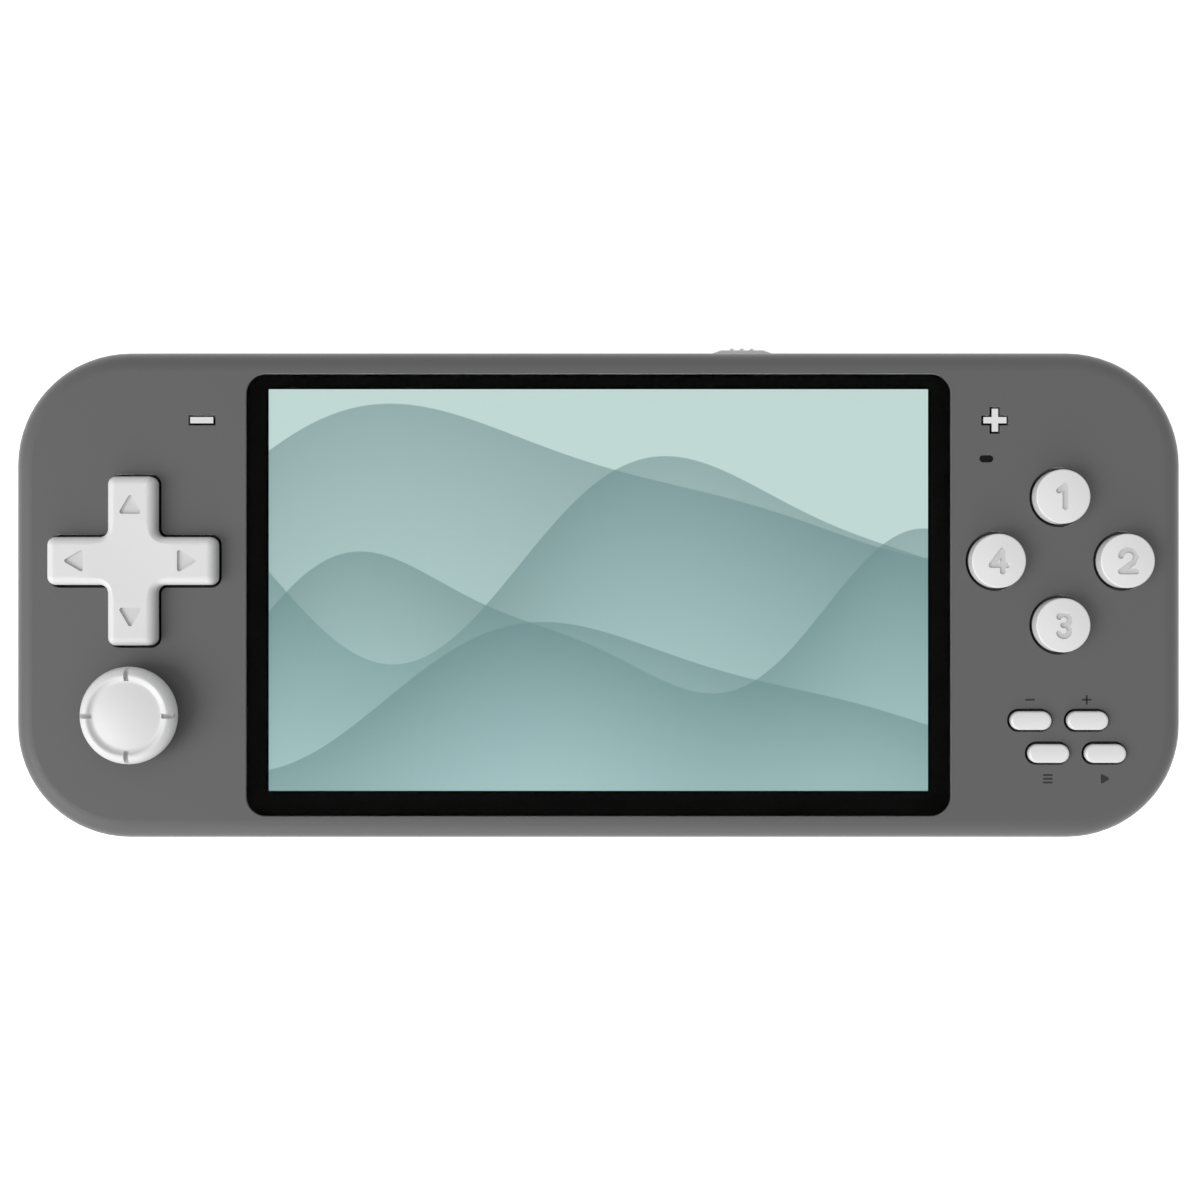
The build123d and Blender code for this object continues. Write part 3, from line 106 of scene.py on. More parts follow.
def blend_colours(tree, share, first, second):
    """Mix two colours by a share from 0 to 1."""
    node = add_node(tree, "ShaderNodeMix", {0: share, 6: first, 7: second}, data_type="RGBA")
    return node.outputs[2]


def spread(tree, value, low, high):
    """Stretch a value from the span 0 to 1 over another span."""
    sockets = {"Value": value, "To Min": low, "To Max": high}
    return add_node(tree, "ShaderNodeMapRange", sockets).outputs["Result"]


def grey(level):
    """A neutral colour."""
    return (level, level, level, 1)


print("node helpers ready")

# %% [markdown]
# ## Grain of moulded plastic
# The tool that a shell or button is moulded in has a fine spark-eroded texture. It breaks the
# gloss into a soft sheen, and over a few centimetres the sheen is never quite even. A photo
# texture would show its seams on a turned part, so the grain is worked out from noise on the
# piece's own coordinates. Many finishes need it, so it is a group that is built once.

# %% Group for moulded grain
def start_group(name, inputs, outputs):
    """A new shader group with float inputs and float outputs, and its two end nodes."""
    group = bpy.data.node_groups.new(name, "ShaderNodeTree")
    for label, value in inputs.items():
        socket = group.interface.new_socket(label, in_out="INPUT", socket_type="NodeSocketFloat")
        socket.default_value = value
    for label in outputs:
        group.interface.new_socket(label, in_out="OUTPUT", socket_type="NodeSocketFloat")
    return group, group.nodes.new("NodeGroupInput"), group.nodes.new("NodeGroupOutput")


def build_grain():
    """Height is fine noise at the grain's size; Mottle is slow noise at the patch size."""
    group, given, result = start_group(
        "moulded grain", {"Grain mm": 0.3, "Patch mm": 14.0}, ["Height", "Mottle"])
    place = add_node(group, "ShaderNodeTexCoord").outputs["Object"]
    for label, size, detail in (("Height", "Grain mm", 2.0), ("Mottle", "Patch mm", 4.0)):
        scale = math_node(group, "DIVIDE", 1 / mm, given.outputs[size])
        noise = add_node(group, "ShaderNodeTexNoise",
                         {"Vector": place, "Scale": scale, "Detail": detail})
        group.links.new(noise.outputs["Fac"], result.inputs[label])
    return group


moulded_grain = build_grain()
print("grain group sockets", [item.name for item in moulded_grain.interface.items_tree])

# %% [markdown]
# ## Streaks of rolled and brushed metal
# Sheet metal carries fine lines along the way it was rolled or brushed. Noise that is stretched
# along one direction gives them, most of all on pressed sheet and hardly on foil. The group puts
# out a height, which moves the bump and the roughness, and a slower tone, which moves the colour.

# %% Group for metal streaks
cloud_share = 0.05


def build_streaks():
    """Noise on coordinates squeezed along X, so that its spots become long lines."""
    group, given, result = start_group("metal streaks", {"Line mm": 0.08, "Stretch": 60.0},
                                       ["Height", "Tone"])
    place = add_node(group, "ShaderNodeTexCoord").outputs["Object"]
    shrink = math_node(group, "DIVIDE", 1.0, given.outputs["Stretch"])
    squeeze = add_node(group, "ShaderNodeCombineXYZ", {"X": shrink, "Y": 1.0, "Z": 1.0})
    squeezed = add_node(group, "ShaderNodeVectorMath", {0: place, 1: squeeze.outputs[0]},
                       operation="MULTIPLY")
    scale = math_node(group, "DIVIDE", 1 / mm, given.outputs["Line mm"])
    lines = add_node(group, "ShaderNodeTexNoise",
                     {"Vector": squeezed.outputs[0], "Scale": scale, "Detail": 2.0})
    group.links.new(lines.outputs["Fac"], result.inputs["Height"])
    cloud_scale = math_node(group, "MULTIPLY", scale, cloud_share)
    cloud = add_node(group, "ShaderNodeTexNoise",
                     {"Vector": squeezed.outputs[0], "Scale": cloud_scale, "Detail": 3.0})
    group.links.new(cloud.outputs["Fac"], result.inputs["Tone"])
    return group


metal_streaks = build_streaks()
print("streak group sockets", [item.name for item in metal_streaks.interface.items_tree])

# %% [markdown]
# ## Plastics and rubbers
# Most of the console is moulded plastic, and its pieces differ in colour, gloss and the size of
# their grain. One function builds such a finish: the colour moves a little with the mottle, the
# roughness moves with it too, and the grain goes through a bump node to the normal. Values that
# are the same all over a piece are set on the shader's own sockets.

# %% Moulded finishes
def start_material(name):
    """A new material with its tree and its shader."""
    material = bpy.data.materials.new(name)
    material.use_nodes = True
    tree = material.node_tree
    return material, tree, tree.nodes["Principled BSDF"]


def set_sockets(node, values):
    """Set plain values on a shader's own sockets."""
    for name, value in values.items():
        node.inputs[name].default_value = value


def bump_from(tree, shader, height, depth_mm, strength=1.0):
    """Send a height through a bump node to the shader's normal."""
    bump = add_node(tree, "ShaderNodeBump",
                    {"Height": height, "Distance": depth_mm * mm, "Strength": strength})
    tree.links.new(bump.outputs["Normal"], shader.inputs["Normal"])


def moulded(name, colour, roughness, grain_mm, depth_mm, patch_mm=14.0, gloss_swing=0.06,
            tone_swing=0.04, specular=0.5):
    """A moulded finish: even colour and gloss that drift slowly, over a fine grain."""
    material, tree, shader = start_material(name)
    grain = add_node(tree, "ShaderNodeGroup", node_tree=moulded_grain)
    set_sockets(grain, {"Grain mm": grain_mm, "Patch mm": patch_mm})
    darker = tuple(part * (1 - tone_swing) for part in colour[:3]) + (1,)
    lighter = tuple(min(part * (1 + tone_swing), 1) for part in colour[:3]) + (1,)
    tone = blend_colours(tree, grain.outputs["Mottle"], darker, lighter)
    tree.links.new(tone, shader.inputs["Base Color"])
    gloss = spread(tree, grain.outputs["Mottle"], roughness - gloss_swing, roughness + gloss_swing)
    tree.links.new(gloss, shader.inputs["Roughness"])
    set_sockets(shader, {"Specular IOR Level": specular})
    bump_from(tree, shader, grain.outputs["Height"], depth_mm)
    return material


print("moulded finishes take a colour, a gloss and the size of their grain")

# %% Plastics and rubbers of the console
body_sheen = {"Sheen Weight": 0.5, "Sheen Roughness": 0.35}

body_grey = moulded("body grey", grey(0.093), roughness=0.5, grain_mm=0.28, depth_mm=0.006,
                    tone_swing=0.015, specular=0.4)
set_sockets(body_grey.node_tree.nodes["Principled BSDF"], body_sheen)
membrane_rubber = moulded("membrane rubber", grey(0.24), roughness=0.7, grain_mm=0.5,
                          depth_mm=0.01)
foam_black = moulded("foam black", grey(0.02), roughness=0.95, grain_mm=0.35, depth_mm=0.08,
                     specular=0.2)
works_black = moulded("works black", grey(0.018), roughness=0.42, grain_mm=0.2, depth_mm=0.004)
works_white = moulded("works white", (0.68, 0.68, 0.65, 1), roughness=0.45, grain_mm=0.3,
                      depth_mm=0.004)
guide_white = moulded("light guide white", (0.8, 0.82, 0.84, 1), roughness=0.25, grain_mm=0.4,
                      depth_mm=0.003)
chip_black = moulded("chip black", (0.016, 0.016, 0.018, 1), roughness=0.55, grain_mm=0.12,
                     depth_mm=0.004, patch_mm=3.0)
smoked_window = moulded("smoked window", grey(0.004), roughness=0.2, grain_mm=0.6,
                        depth_mm=0.001, specular=0.1)
wire_red = moulded("wire red", (0.42, 0.02, 0.02, 1), roughness=0.3, grain_mm=0.5,
                   depth_mm=0.003)
tape_pale = moulded("tape pale", (0.78, 0.77, 0.72, 1), roughness=0.6, grain_mm=0.25,
                    depth_mm=0.01)
print("moulded finishes from", body_grey.name, "to", tape_pale.name)

# %% [markdown]
# ## White caps, their signs and the painted shade round them
# All the caps are the same white plastic, and the slide knob's is a little lighter. The figures on
# the round buttons, the triangles on the cross and the notches of the stick are moulded in. Their
# floors carry painted shade, a darker grey, which is why they can be read at all. In the narrow gap
# between a cap and the shell, the cap's foot is painted dark as painted shade.
#
# Extra pieces laid into the gaps could carry those tones, but masks do it with the cap's own
# surface: one is 1 in a box round a sign's middle, below a height, and the other rises from 0 at
# a height to 1 a little below it. The stick's notches are shallow and rounded, so their box fades
# softly to its rim.

# %% Groups for painted shade in signs and gaps
def place_in_mm(group):
    """The three coordinates of the point, in mm."""
    place = add_node(group, "ShaderNodeTexCoord").outputs["Object"]
    point = add_node(group, "ShaderNodeVectorMath", {0: place, "Scale": 1 / mm}, operation="SCALE")
    return add_node(group, "ShaderNodeSeparateXYZ", {0: point.outputs[0]}).outputs


def build_sunk_sign():
    """Mask is 1 in a rectangle round the sign's middle, below a height, and fades to its rim."""
    group, given, result = start_group(
        "sunk sign", {"Middle X mm": 0.0, "Middle Y mm": 0.0, "Reach X mm": 2.0, "Reach Y mm": 2.0,
                      "Height mm": 18.0, "Soft mm": 0.02}, ["Mask"])
    point = place_in_mm(group)
    mask = math_node(group, "LESS_THAN", point["Z"], given.outputs["Height mm"])
    for axis in ("X", "Y"):
        aside = math_node(group, "SUBTRACT", point[axis], given.outputs[f"Middle {axis} mm"])
        inside = math_node(group, "SUBTRACT", given.outputs[f"Reach {axis} mm"],
                           math_node(group, "ABSOLUTE", aside))
        near = math_node(group, "DIVIDE", inside, given.outputs["Soft mm"], clamp=True)
        mask = math_node(group, "MULTIPLY", mask, near)
    group.links.new(mask, result.inputs["Mask"])
    return group


def build_gap_shade():
    """Mask is the depth below a height as a share of the fade, from 0 to 1."""
    group, given, result = start_group("gap shade", {"Height mm": 15.6, "Fade mm": 0.3}, ["Mask"])
    below = math_node(group, "SUBTRACT", given.outputs["Height mm"], place_in_mm(group)["Z"])
    mask = math_node(group, "DIVIDE", below, given.outputs["Fade mm"], clamp=True)
    group.links.new(mask, result.inputs["Mask"])
    return group


sunk_sign = build_sunk_sign()
gap_shade_group = build_gap_shade()
print("sign and dust groups", sunk_sign.name, gap_shade_group.name)

# %% White caps
cap_level = 0.68
knob_level = 0.8
# Painted shade: greys that the caps' feet below the face are turned to.
gap_shade_level = 0.03
thin_gap_shade_level = 0.16
gap_shade_fade = 0.3
crisp = 0.02
action_names = ("top", "right", "bottom", "left")
face_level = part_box("front_shell")[1].z / mm


def middle_of(node):
    """Middle of a node in the plan, in mm."""
    low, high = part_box(node)
    return np.array([(low.x + high.x) / 2, (low.y + high.y) / 2]) / mm


def shade_where(material, mask, level):
    """Blend the base colour to a grey level where the mask is 1."""
    tree = material.node_tree
    base = tree.nodes["Principled BSDF"].inputs["Base Color"]
    tree.links.new(blend_colours(tree, mask, base.links[0].from_socket, grey(level)), base)


print("the caps stand in the face at", round(face_level, 2), "mm")

# %% White plastic with painted shade in its gaps
def white_plastic(name, level=cap_level):
    """Fine grained white plastic with a soft gloss."""
    return moulded(name, grey(level), roughness=0.38, grain_mm=0.22, depth_mm=0.003,
                   tone_swing=0.012)


def white_cap(name, signs=(), height=0.0, shade_share=1.0, soft=crisp, gap_shade_tone=gap_shade_level):
    """White plastic with painted shade below the face and on the floors of its sunk signs."""
    material = white_plastic(name)
    tree = material.node_tree
    # Painted shade in the gap: below the face the cap's colour goes to a dark grey.
    gap_shade = add_node(tree, "ShaderNodeGroup", node_tree=gap_shade_group)
    set_sockets(gap_shade, {"Height mm": face_level, "Fade mm": gap_shade_fade})
    shade_where(material, gap_shade.outputs["Mask"], gap_shade_tone)
    mask = 0.0
    for middle, reach in signs:
        sign = add_node(tree, "ShaderNodeGroup", node_tree=sunk_sign)
        set_sockets(sign, {"Middle X mm": middle[0], "Middle Y mm": middle[1],
                           "Reach X mm": reach[0], "Reach Y mm": reach[1], "Height mm": height,
                           "Soft mm": soft})
        mask = math_node(tree, "MAXIMUM", sign.outputs["Mask"], mask)
    # Painted shade: the floors of the sunk signs are turned a darker grey.
    if signs:
        shade_where(material, mask, cap_level * shade_share)
    return material


def four_round(node, pitch, along, across):
    """Middles and reaches of four signs on the arms of a cross round a node's middle."""
    steps = np.array([[1, 0], [0, 1], [-1, 0], [0, -1]])
    return [(middle_of(node) + pitch * step, np.where(step, along, across)) for step in steps]


knob_white = white_plastic("knob white", knob_level)
cap_white = white_cap("cap white")
print("white finishes", knob_white.name, cap_white.name)

# %% Caps with signs
cap_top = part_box("dpad_cap")[1].z / mm
stick_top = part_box("stick_cap")[1].z / mm
# Each share is the part of the cap's grey kept on a sign's floor, as painted shade.
figure_reach = (1.75, 2.1)
figure_sink = 0.2
figure_share = 0.8
triangle_pitch = 8.0
triangle_reach = 1.95
triangle_sink = 0.15
triangle_share = 0.88
notch_pitch = 5.75
notch_along = 1.0
notch_across = 0.42
notch_sink = 0.12
notch_soft = 0.3
notch_share = 0.55

figures = [(middle_of(f"action_button_{name}"), figure_reach) for name in action_names]
triangles = four_round("dpad_cap", triangle_pitch, triangle_reach, triangle_reach)
notches = four_round("stick_cap", notch_pitch, notch_along, notch_across)
# Painted shade on the floors of the figures, triangles and notches.
figured_white = white_cap("figured white", figures, cap_top - figure_sink, figure_share,
                          gap_shade_tone=thin_gap_shade_level)
crossed_white = white_cap("crossed white", triangles, cap_top - triangle_sink, triangle_share)
notched_white = white_cap("notched white", notches, stick_top - notch_sink, notch_share,
                          soft=notch_soft)
print("signs", len(figures) + len(triangles) + len(notches))

# %% [markdown]
# ## Metals
# Screws, pins and the USB shell are zinc plated steel, and the display tray and the stick's base
# are pressed sheet. Both are fully metallic; what tells them apart is the size of the streaks
# and how rough they are.

# %% Metal finishes
streak_shade_share = 0.9
gloss_below = 0.08
gloss_above = 0.12


def metal(name, colour, roughness, line_mm, stretch, depth_mm):
    """A metal whose roughness follows its streaks."""
    material, tree, shader = start_material(name)
    streaks = add_node(tree, "ShaderNodeGroup", node_tree=metal_streaks)
    set_sockets(streaks, {"Line mm": line_mm, "Stretch": stretch})
    darker = tuple(part * streak_shade_share for part in colour[:3]) + (1,)
    tone = blend_colours(tree, streaks.outputs["Tone"], darker, colour)
    tree.links.new(tone, shader.inputs["Base Color"])
    gloss = spread(tree, streaks.outputs["Height"], roughness - gloss_below,
                   roughness + gloss_above)
    tree.links.new(gloss, shader.inputs["Roughness"])
    set_sockets(shader, {"Metallic": 1.0})
    bump_from(tree, shader, streaks.outputs["Height"], depth_mm)
    return material


plated_steel = metal("plated steel", (0.56, 0.56, 0.57, 1), roughness=0.3, line_mm=0.15,
                     stretch=6.0, depth_mm=0.002)
sheet_steel = metal("pressed sheet steel", (0.6, 0.6, 0.62, 1), roughness=0.36, line_mm=0.08,
                    stretch=80.0, depth_mm=0.003)
contact_gold = metal("contact gold", (0.85, 0.6, 0.25, 1), roughness=0.25, line_mm=0.1,
                     stretch=10.0, depth_mm=0.001)
cell_foil = metal("cell foil", (0.62, 0.63, 0.66, 1), roughness=0.4, line_mm=1.6, stretch=1.5,
                  depth_mm=0.05)
print("metals", plated_steel.name, sheet_steel.name, contact_gold.name, cell_foil.name)

# %% [markdown]
# ## Cover glass and its black border
# The lens is clear and polished. It has a coating against reflections, without which the white
# studio would turn the black border grey, so its refraction is set near that of air. Faint
# smears move its roughness. The border is ink printed on the back of the lens, deep black.

# %% Glass and ink
coated_refraction = 1.07
smear_patch = 30.0
smear_gloss = 0.015


def build_cover_glass():
    """Clear coated glass with faint smears in its gloss."""
    material, tree, shader = start_material("cover glass")
    set_sockets(shader, {"Base Color": grey(1), "Transmission Weight": 1.0,
                         "IOR": coated_refraction})
    smears = add_node(tree, "ShaderNodeGroup", node_tree=moulded_grain)
    set_sockets(smears, {"Patch mm": smear_patch})
    gloss = spread(tree, smears.outputs["Mottle"], 0.0, smear_gloss)
    tree.links.new(gloss, shader.inputs["Roughness"])
    return material


cover_glass = build_cover_glass()
border_ink = moulded("border ink", grey(0.0014), roughness=0.5, grain_mm=0.1, depth_mm=0.001,
                     specular=0.0)
print("lens finishes", cover_glass.name, border_ink.name)

# %% [markdown]
# ## The lit picture
# The screen shows a calm backdrop of large translucent shapes in pale teal. Here they are rolling
# hills that lie over each other: each one is darkest along its crest and fades downwards, and
# where two cross, both show. One group works out a single hill: its crest is a sum of two sines
# along X, its mask is everything below the crest, and its fade is the depth below it. The picture
# gives its own light, so the colour goes to the emission.

# %% Group for one hill
quick_turn_share = 1.7
quick_turn_start = 0.9
quick_wave_share = 0.35
crest_sharpness = 6.0
crest_mask_share = 0.5


def build_hill():
    """Mask is 1 below the crest; Fade runs from 0 at the crest to 1 at the given depth."""
    group, given, result = start_group(
        "translucent hill",
        {"Level mm": 0.0, "Swing mm": 8.0, "Length mm": 90.0, "Shift": 0.0, "Depth mm": 40.0},
        ["Mask", "Fade"])
    place = add_node(group, "ShaderNodeTexCoord").outputs["Object"]
    split = add_node(group, "ShaderNodeSeparateXYZ", {0: place})
    across = math_node(group, "DIVIDE", split.outputs["X"], mm)
    up = math_node(group, "DIVIDE", split.outputs["Y"], mm)
    turn = math_node(group, "DIVIDE", math_node(group, "MULTIPLY", across, 2 * np.pi),
                     given.outputs["Length mm"])
    turn = math_node(group, "ADD", turn, given.outputs["Shift"])
    long_wave = math_node(group, "SINE", turn)
    quick_turn = math_node(group, "MULTIPLY_ADD", turn, quick_turn_share, quick_turn_start)
    quick_wave = math_node(group, "SINE", quick_turn)
    short_wave = math_node(group, "MULTIPLY", quick_wave, quick_wave_share)
    wave = math_node(group, "ADD", long_wave, short_wave)
    crest = math_node(group, "MULTIPLY_ADD", wave, given.outputs["Swing mm"],
                      given.outputs["Level mm"])
    below = math_node(group, "SUBTRACT", crest, up)
    mask = math_node(group, "MULTIPLY_ADD", below, crest_sharpness, crest_mask_share, clamp=True)
    fade = math_node(group, "DIVIDE", below, given.outputs["Depth mm"], clamp=True)
    group.links.new(mask, result.inputs["Mask"])
    group.links.new(fade, result.inputs["Fade"])
    return group


translucent_hill = build_hill()
print("hill group sockets", [item.name for item in translucent_hill.interface.items_tree])

# %% Lit picture
sky_pale = (0.52, 0.68, 0.65, 1)
crest_teal = (0.145, 0.26, 0.262, 1)
foot_teal = (0.33, 0.525, 0.53, 1)
crest_cover = 0.64
foot_cover = 0.32
hills = [
    {"Level mm": 16.0, "Swing mm": 11.0, "Length mm": 118.0, "Shift": 2.6, "Depth mm": 46.0},
    {"Level mm": 7.0, "Swing mm": 12.5, "Length mm": 96.0, "Shift": 0.4, "Depth mm": 36.0},
    {"Level mm": -4.0, "Swing mm": 10.0, "Length mm": 74.0, "Shift": 3.9, "Depth mm": 30.0},
    {"Level mm": -13.0, "Swing mm": 9.0, "Length mm": 104.0, "Shift": 1.5, "Depth mm": 24.0},
]


def build_lit_picture():
    """Pale ground with the hills laid over it, each thinner towards its foot."""
    material, tree, shader = start_material("lit picture")
    colour = sky_pale
    for values in hills:
        hill = add_node(tree, "ShaderNodeGroup", node_tree=translucent_hill)
        set_sockets(hill, values)
        tint = blend_colours(tree, hill.outputs["Fade"], crest_teal, foot_teal)
        cover = spread(tree, hill.outputs["Fade"], crest_cover, foot_cover)
        share = math_node(tree, "MULTIPLY", cover, hill.outputs["Mask"])
        colour = blend_colours(tree, share, colour, tint)
    tree.links.new(colour, shader.inputs["Emission Color"])
    set_sockets(shader, {"Emission Strength": 1.0, "Base Color": grey(0.01), "Roughness": 0.4,
                         "Specular IOR Level": 0.0})
    return material


lit_picture = build_lit_picture()
print("hills in the picture", len(hills))

# %% [markdown]
# ## Circuit board and ribbon
# The board's green lacquer lies over copper, and where a track runs under it the green is
# lighter and stands a hair proud. Two brick patterns of thin lines at different pitches look
# like runs of tracks, and a grid of round spots like the plated holes between them. The display
# ribbon is amber film with fine tracks along it.

# %% Tracks
fine_tracks = (7.3, 0.62, 0.09)
wide_tracks = (19.0, 3.1, 0.22)
lacquer_green = (0.008, 0.085, 0.035, 1)
track_green = (0.02, 0.17, 0.07, 1)
plated_gold = (0.75, 0.55, 0.25, 1)
hole_pitch = 2.4
hole_scatter = 0.4
hole_reach_share = 0.13
lacquer_gloss = 0.28
gold_gloss = 0.4
ribbon_tracks = (0.45, 60.0, 0.12)
film_amber = (0.5, 0.23, 0.03, 1)
film_light = (0.75, 0.45, 0.15, 1)


def track_lines(tree, length_mm, width_mm, line_mm):
    """Thin joints of a brick pattern as a mask of tracks."""
    place = add_node(tree, "ShaderNodeTexCoord").outputs["Object"]
    bricks = add_node(tree, "ShaderNodeTexBrick",
                      {"Vector": place, "Color1": grey(0), "Color2": grey(0), "Mortar": grey(1),
                       "Scale": 1.0, "Mortar Size": line_mm * mm, "Mortar Smooth": 0.1,
                       "Brick Width": length_mm * mm, "Row Height": width_mm * mm})
    return bricks.outputs["Color"]


print("tracks repeat every", fine_tracks[1], "and", wide_tracks[1], "mm")

# %% Board lacquer and ribbon film
def build_board():
    """Green lacquer over tracks and plated holes."""
    material, tree, shader = start_material("board lacquer")
    tracks = math_node(tree, "MAXIMUM", track_lines(tree, *fine_tracks),
                       track_lines(tree, *wide_tracks))
    place = add_node(tree, "ShaderNodeTexCoord").outputs["Object"]
    spots = add_node(tree, "ShaderNodeTexVoronoi", {"Vector": place, "Scale": 1 / (hole_pitch * mm),
                                                    "Randomness": hole_scatter})
    holes = math_node(tree, "LESS_THAN", spots.outputs["Distance"], hole_reach_share)
    lacquer = blend_colours(tree, tracks, lacquer_green, track_green)
    colour = blend_colours(tree, holes, lacquer, plated_gold)
    tree.links.new(colour, shader.inputs["Base Color"])
    gloss = spread(tree, holes, lacquer_gloss, gold_gloss)
    tree.links.new(gloss, shader.inputs["Roughness"])
    tree.links.new(holes, shader.inputs["Metallic"])
    bump_from(tree, shader, tracks, depth_mm=0.03)
    return material


def build_ribbon():
    """Amber film with tracks along it."""
    material, tree, shader = start_material("ribbon film")
    tracks = track_lines(tree, *ribbon_tracks)
    colour = blend_colours(tree, tracks, film_amber, film_light)
    tree.links.new(colour, shader.inputs["Base Color"])
    set_sockets(shader, {"Roughness": 0.28})
    bump_from(tree, shader, tracks, depth_mm=0.02)
    return material


board_lacquer = build_board()
ribbon_film = build_ribbon()
print("board finishes", board_lacquer.name, ribbon_film.name)

# %% [markdown]
# ## Finishes go onto the solids
# The solids' shapes are right as they are, so nearly all of them keep their mesh and only get a
# finish. The lens and the rubber membranes are stood for by finer pieces further on. One table
# names the nodes under each finish, and a loop hands it out; the loop's count shows whether a
# node was forgotten.

# %% Hand out the finishes
pill_names = ("volume_down", "volume_up", "select", "start")
finish_table = [
    (body_grey, ["front_shell", "rear_shell", "left_shoulder_button", "right_shoulder_button"]),
    (cap_white, ["plus_button", "minus_button"]),
    (knob_white, ["power_switch_knob"]),
    (notched_white, ["stick_cap"]),
    (crossed_white, ["dpad_cap"]),
    (figured_white, [f"action_button_{name}" for name in action_names]),
    (cap_white, [f"{name}_button" for name in pill_names]),
    (cover_glass, ["screen_lens"]),
    (border_ink, ["lens_border"]),
    (lit_picture, ["display_panel"]),
    (guide_white, ["display_backlight"]),
    (sheet_steel, ["display_tray", "stick_base", "power_switch_body", "card_socket"]),
    (foam_black, ["display_foam"]),
    (ribbon_film, ["display_ribbon"]),
    (smoked_window, ["status_lens"]),
    (plated_steel, ["case_screws", "board_screws", "dpad_pivot_ball", "stick_spring",
                    "shoulder_pins", "usb_socket"]),
    (membrane_rubber, ["dpad_membrane", "action_membrane", "menu_membrane"]),
    (works_black, ["dpad_pivot_post", "face_tact_switches", "stick_slotted_arch",
                   "stick_potentiometers", "power_switch_lever", "shoulder_switches",
                   "headphone_jack", "speaker_left", "speaker_right"]),
    (works_white, ["stick_stem", "stick_swing_yoke", "board_connectors"]),
    (board_lacquer, ["main_board"]),
    (chip_black, ["board_chips"]),
    (cell_foil, ["battery"]),
    (tape_pale, ["battery_tape"]),
    (wire_red, ["battery_leads", "speaker_leads"]),
]


def set_finish(piece, material):
    """Put one material in every slot of a piece."""
    if not piece.material_slots:
        piece.data.materials.append(material)
    for slot in piece.material_slots:
        slot.material = material


finished = set()
for material, names in finish_table:
    for name in names:
        set_finish(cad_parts[name], material)
        finished.add(name)
print("finished", len(finished), "left over", sorted(set(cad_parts) - finished))

# %% [markdown]
# ## Printed marks beside the pill buttons
# The pill buttons are told apart by marks printed on the shell in darker grey. The console keeps
# to plain signs: minus and plus for the volume, three bars and an arrowhead for the other two.
# Ink stands about 0.02 mm proud, so each sign is a very thin plate. A plate is its outline
# carried up, drawn in a little, and closed to a point in the middle, which gives it a soft edge.

# %% Closed skins over rings
def closed_rings(name, rings):
    """A closed skin over rings of points; the first and last ring shrink to one point each."""
    count, around = rings.shape[:2]
    poles = np.stack([rings[0].mean(axis=0), rings[-1].mean(axis=0)])
    points = np.concatenate([rings.reshape(-1, 3), poles])
    step = np.arange(around)
    after = (step + 1) % around
    rows = np.arange(count - 1)[:, None] * around
    sides = np.stack([rows + step, rows + after, rows + around + after, rows + around + step],
                     axis=-1).reshape(-1, 4)
    low_pole, high_pole = count * around, count * around + 1
    last = (count - 1) * around
    base = np.stack([after, step, np.full(around, low_pole)], axis=-1)
    lid = np.stack([last + step, last + after, np.full(around, high_pole)], axis=-1)
    mesh = bpy.data.meshes.new(name)
    mesh.from_pydata(points.tolist(), [], sides.tolist() + base.tolist() + lid.tolist())
    piece = bpy.data.objects.new(name, mesh)
    bpy.context.scene.collection.objects.link(piece)
    return piece


print("rings of points become closed skins")

# %% Thin plates
plate_level_shares = np.array([0.0, 0.7, 1.0, 1.0])
plate_draw_share = 0.12
plate_lid_share = 0.5
arrow_corner_shares = np.array([[0.62, 0.0], [-0.38, 0.58], [-0.38, -0.58]])


def superellipse(length, width, power, count=64):
    """Outline |x/a|^n + |y/b|^n = 1, an oval for n = 2 and a bar with soft corners above."""
    turn = np.linspace(0, 2 * np.pi, count, endpoint=False)
    cos, sin = np.cos(turn), np.sin(turn)
    x = np.sign(cos) * np.abs(cos) ** (2 / power) * length / 2
    y = np.sign(sin) * np.abs(sin) ** (2 / power) * width / 2
    return np.stack([x, y], axis=-1)


def arrowhead(length, round_share=0.16, count=66):
    """A triangle pointing along +X with corners rounded by averaging along its outline."""
    corners = arrow_corner_shares * length
    share = np.arange(count) / count * 3
    side = share.astype(int)
    part = (share - side)[:, None]
    outline = corners[side] * (1 - part) + corners[(side + 1) % 3] * part
    reach = int(count * round_share / 2)
    shifted = [np.roll(outline, offset, axis=0) for offset in range(-reach, reach + 1)]
    return np.mean(shifted, axis=0)


def thin_plate(name, outline, middle, low, thickness):
    """An outline raised from its base, drawn in at the top and closed in the middle."""
    levels = plate_level_shares * thickness
    scales = np.array([1, 1, 1 - plate_draw_share, plate_lid_share - plate_draw_share])
    flat = outline[None] * scales[:, None, None] + np.array(middle)
    high = np.broadcast_to((low + levels)[:, None, None], flat.shape[:2] + (1,))
    return closed_rings(name, np.concatenate([flat, high], axis=-1) * mm)


print("plates lie on the face at", round(face_level, 2), "mm")

# %% Printed marks
ink_height = 0.02
ink_sink = 0.02
mark_span = 1.35
mark_stroke = 0.26
bar_power = 8
volume_mark_lift = 2.92
menu_mark_drop = 3.6
bar_pitch = 0.52

label_ink = moulded("label ink", grey(0.026), roughness=0.6, grain_mm=0.15, depth_mm=0.001,
                    specular=0.2)


def printed_mark(name, outline, middle):
    """One thin plate of ink on the face of the front shell."""
    piece = thin_plate(name, outline, middle, face_level - ink_sink, ink_sink + ink_height)
    set_finish(piece, label_ink)
    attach(piece, "root")
    return piece


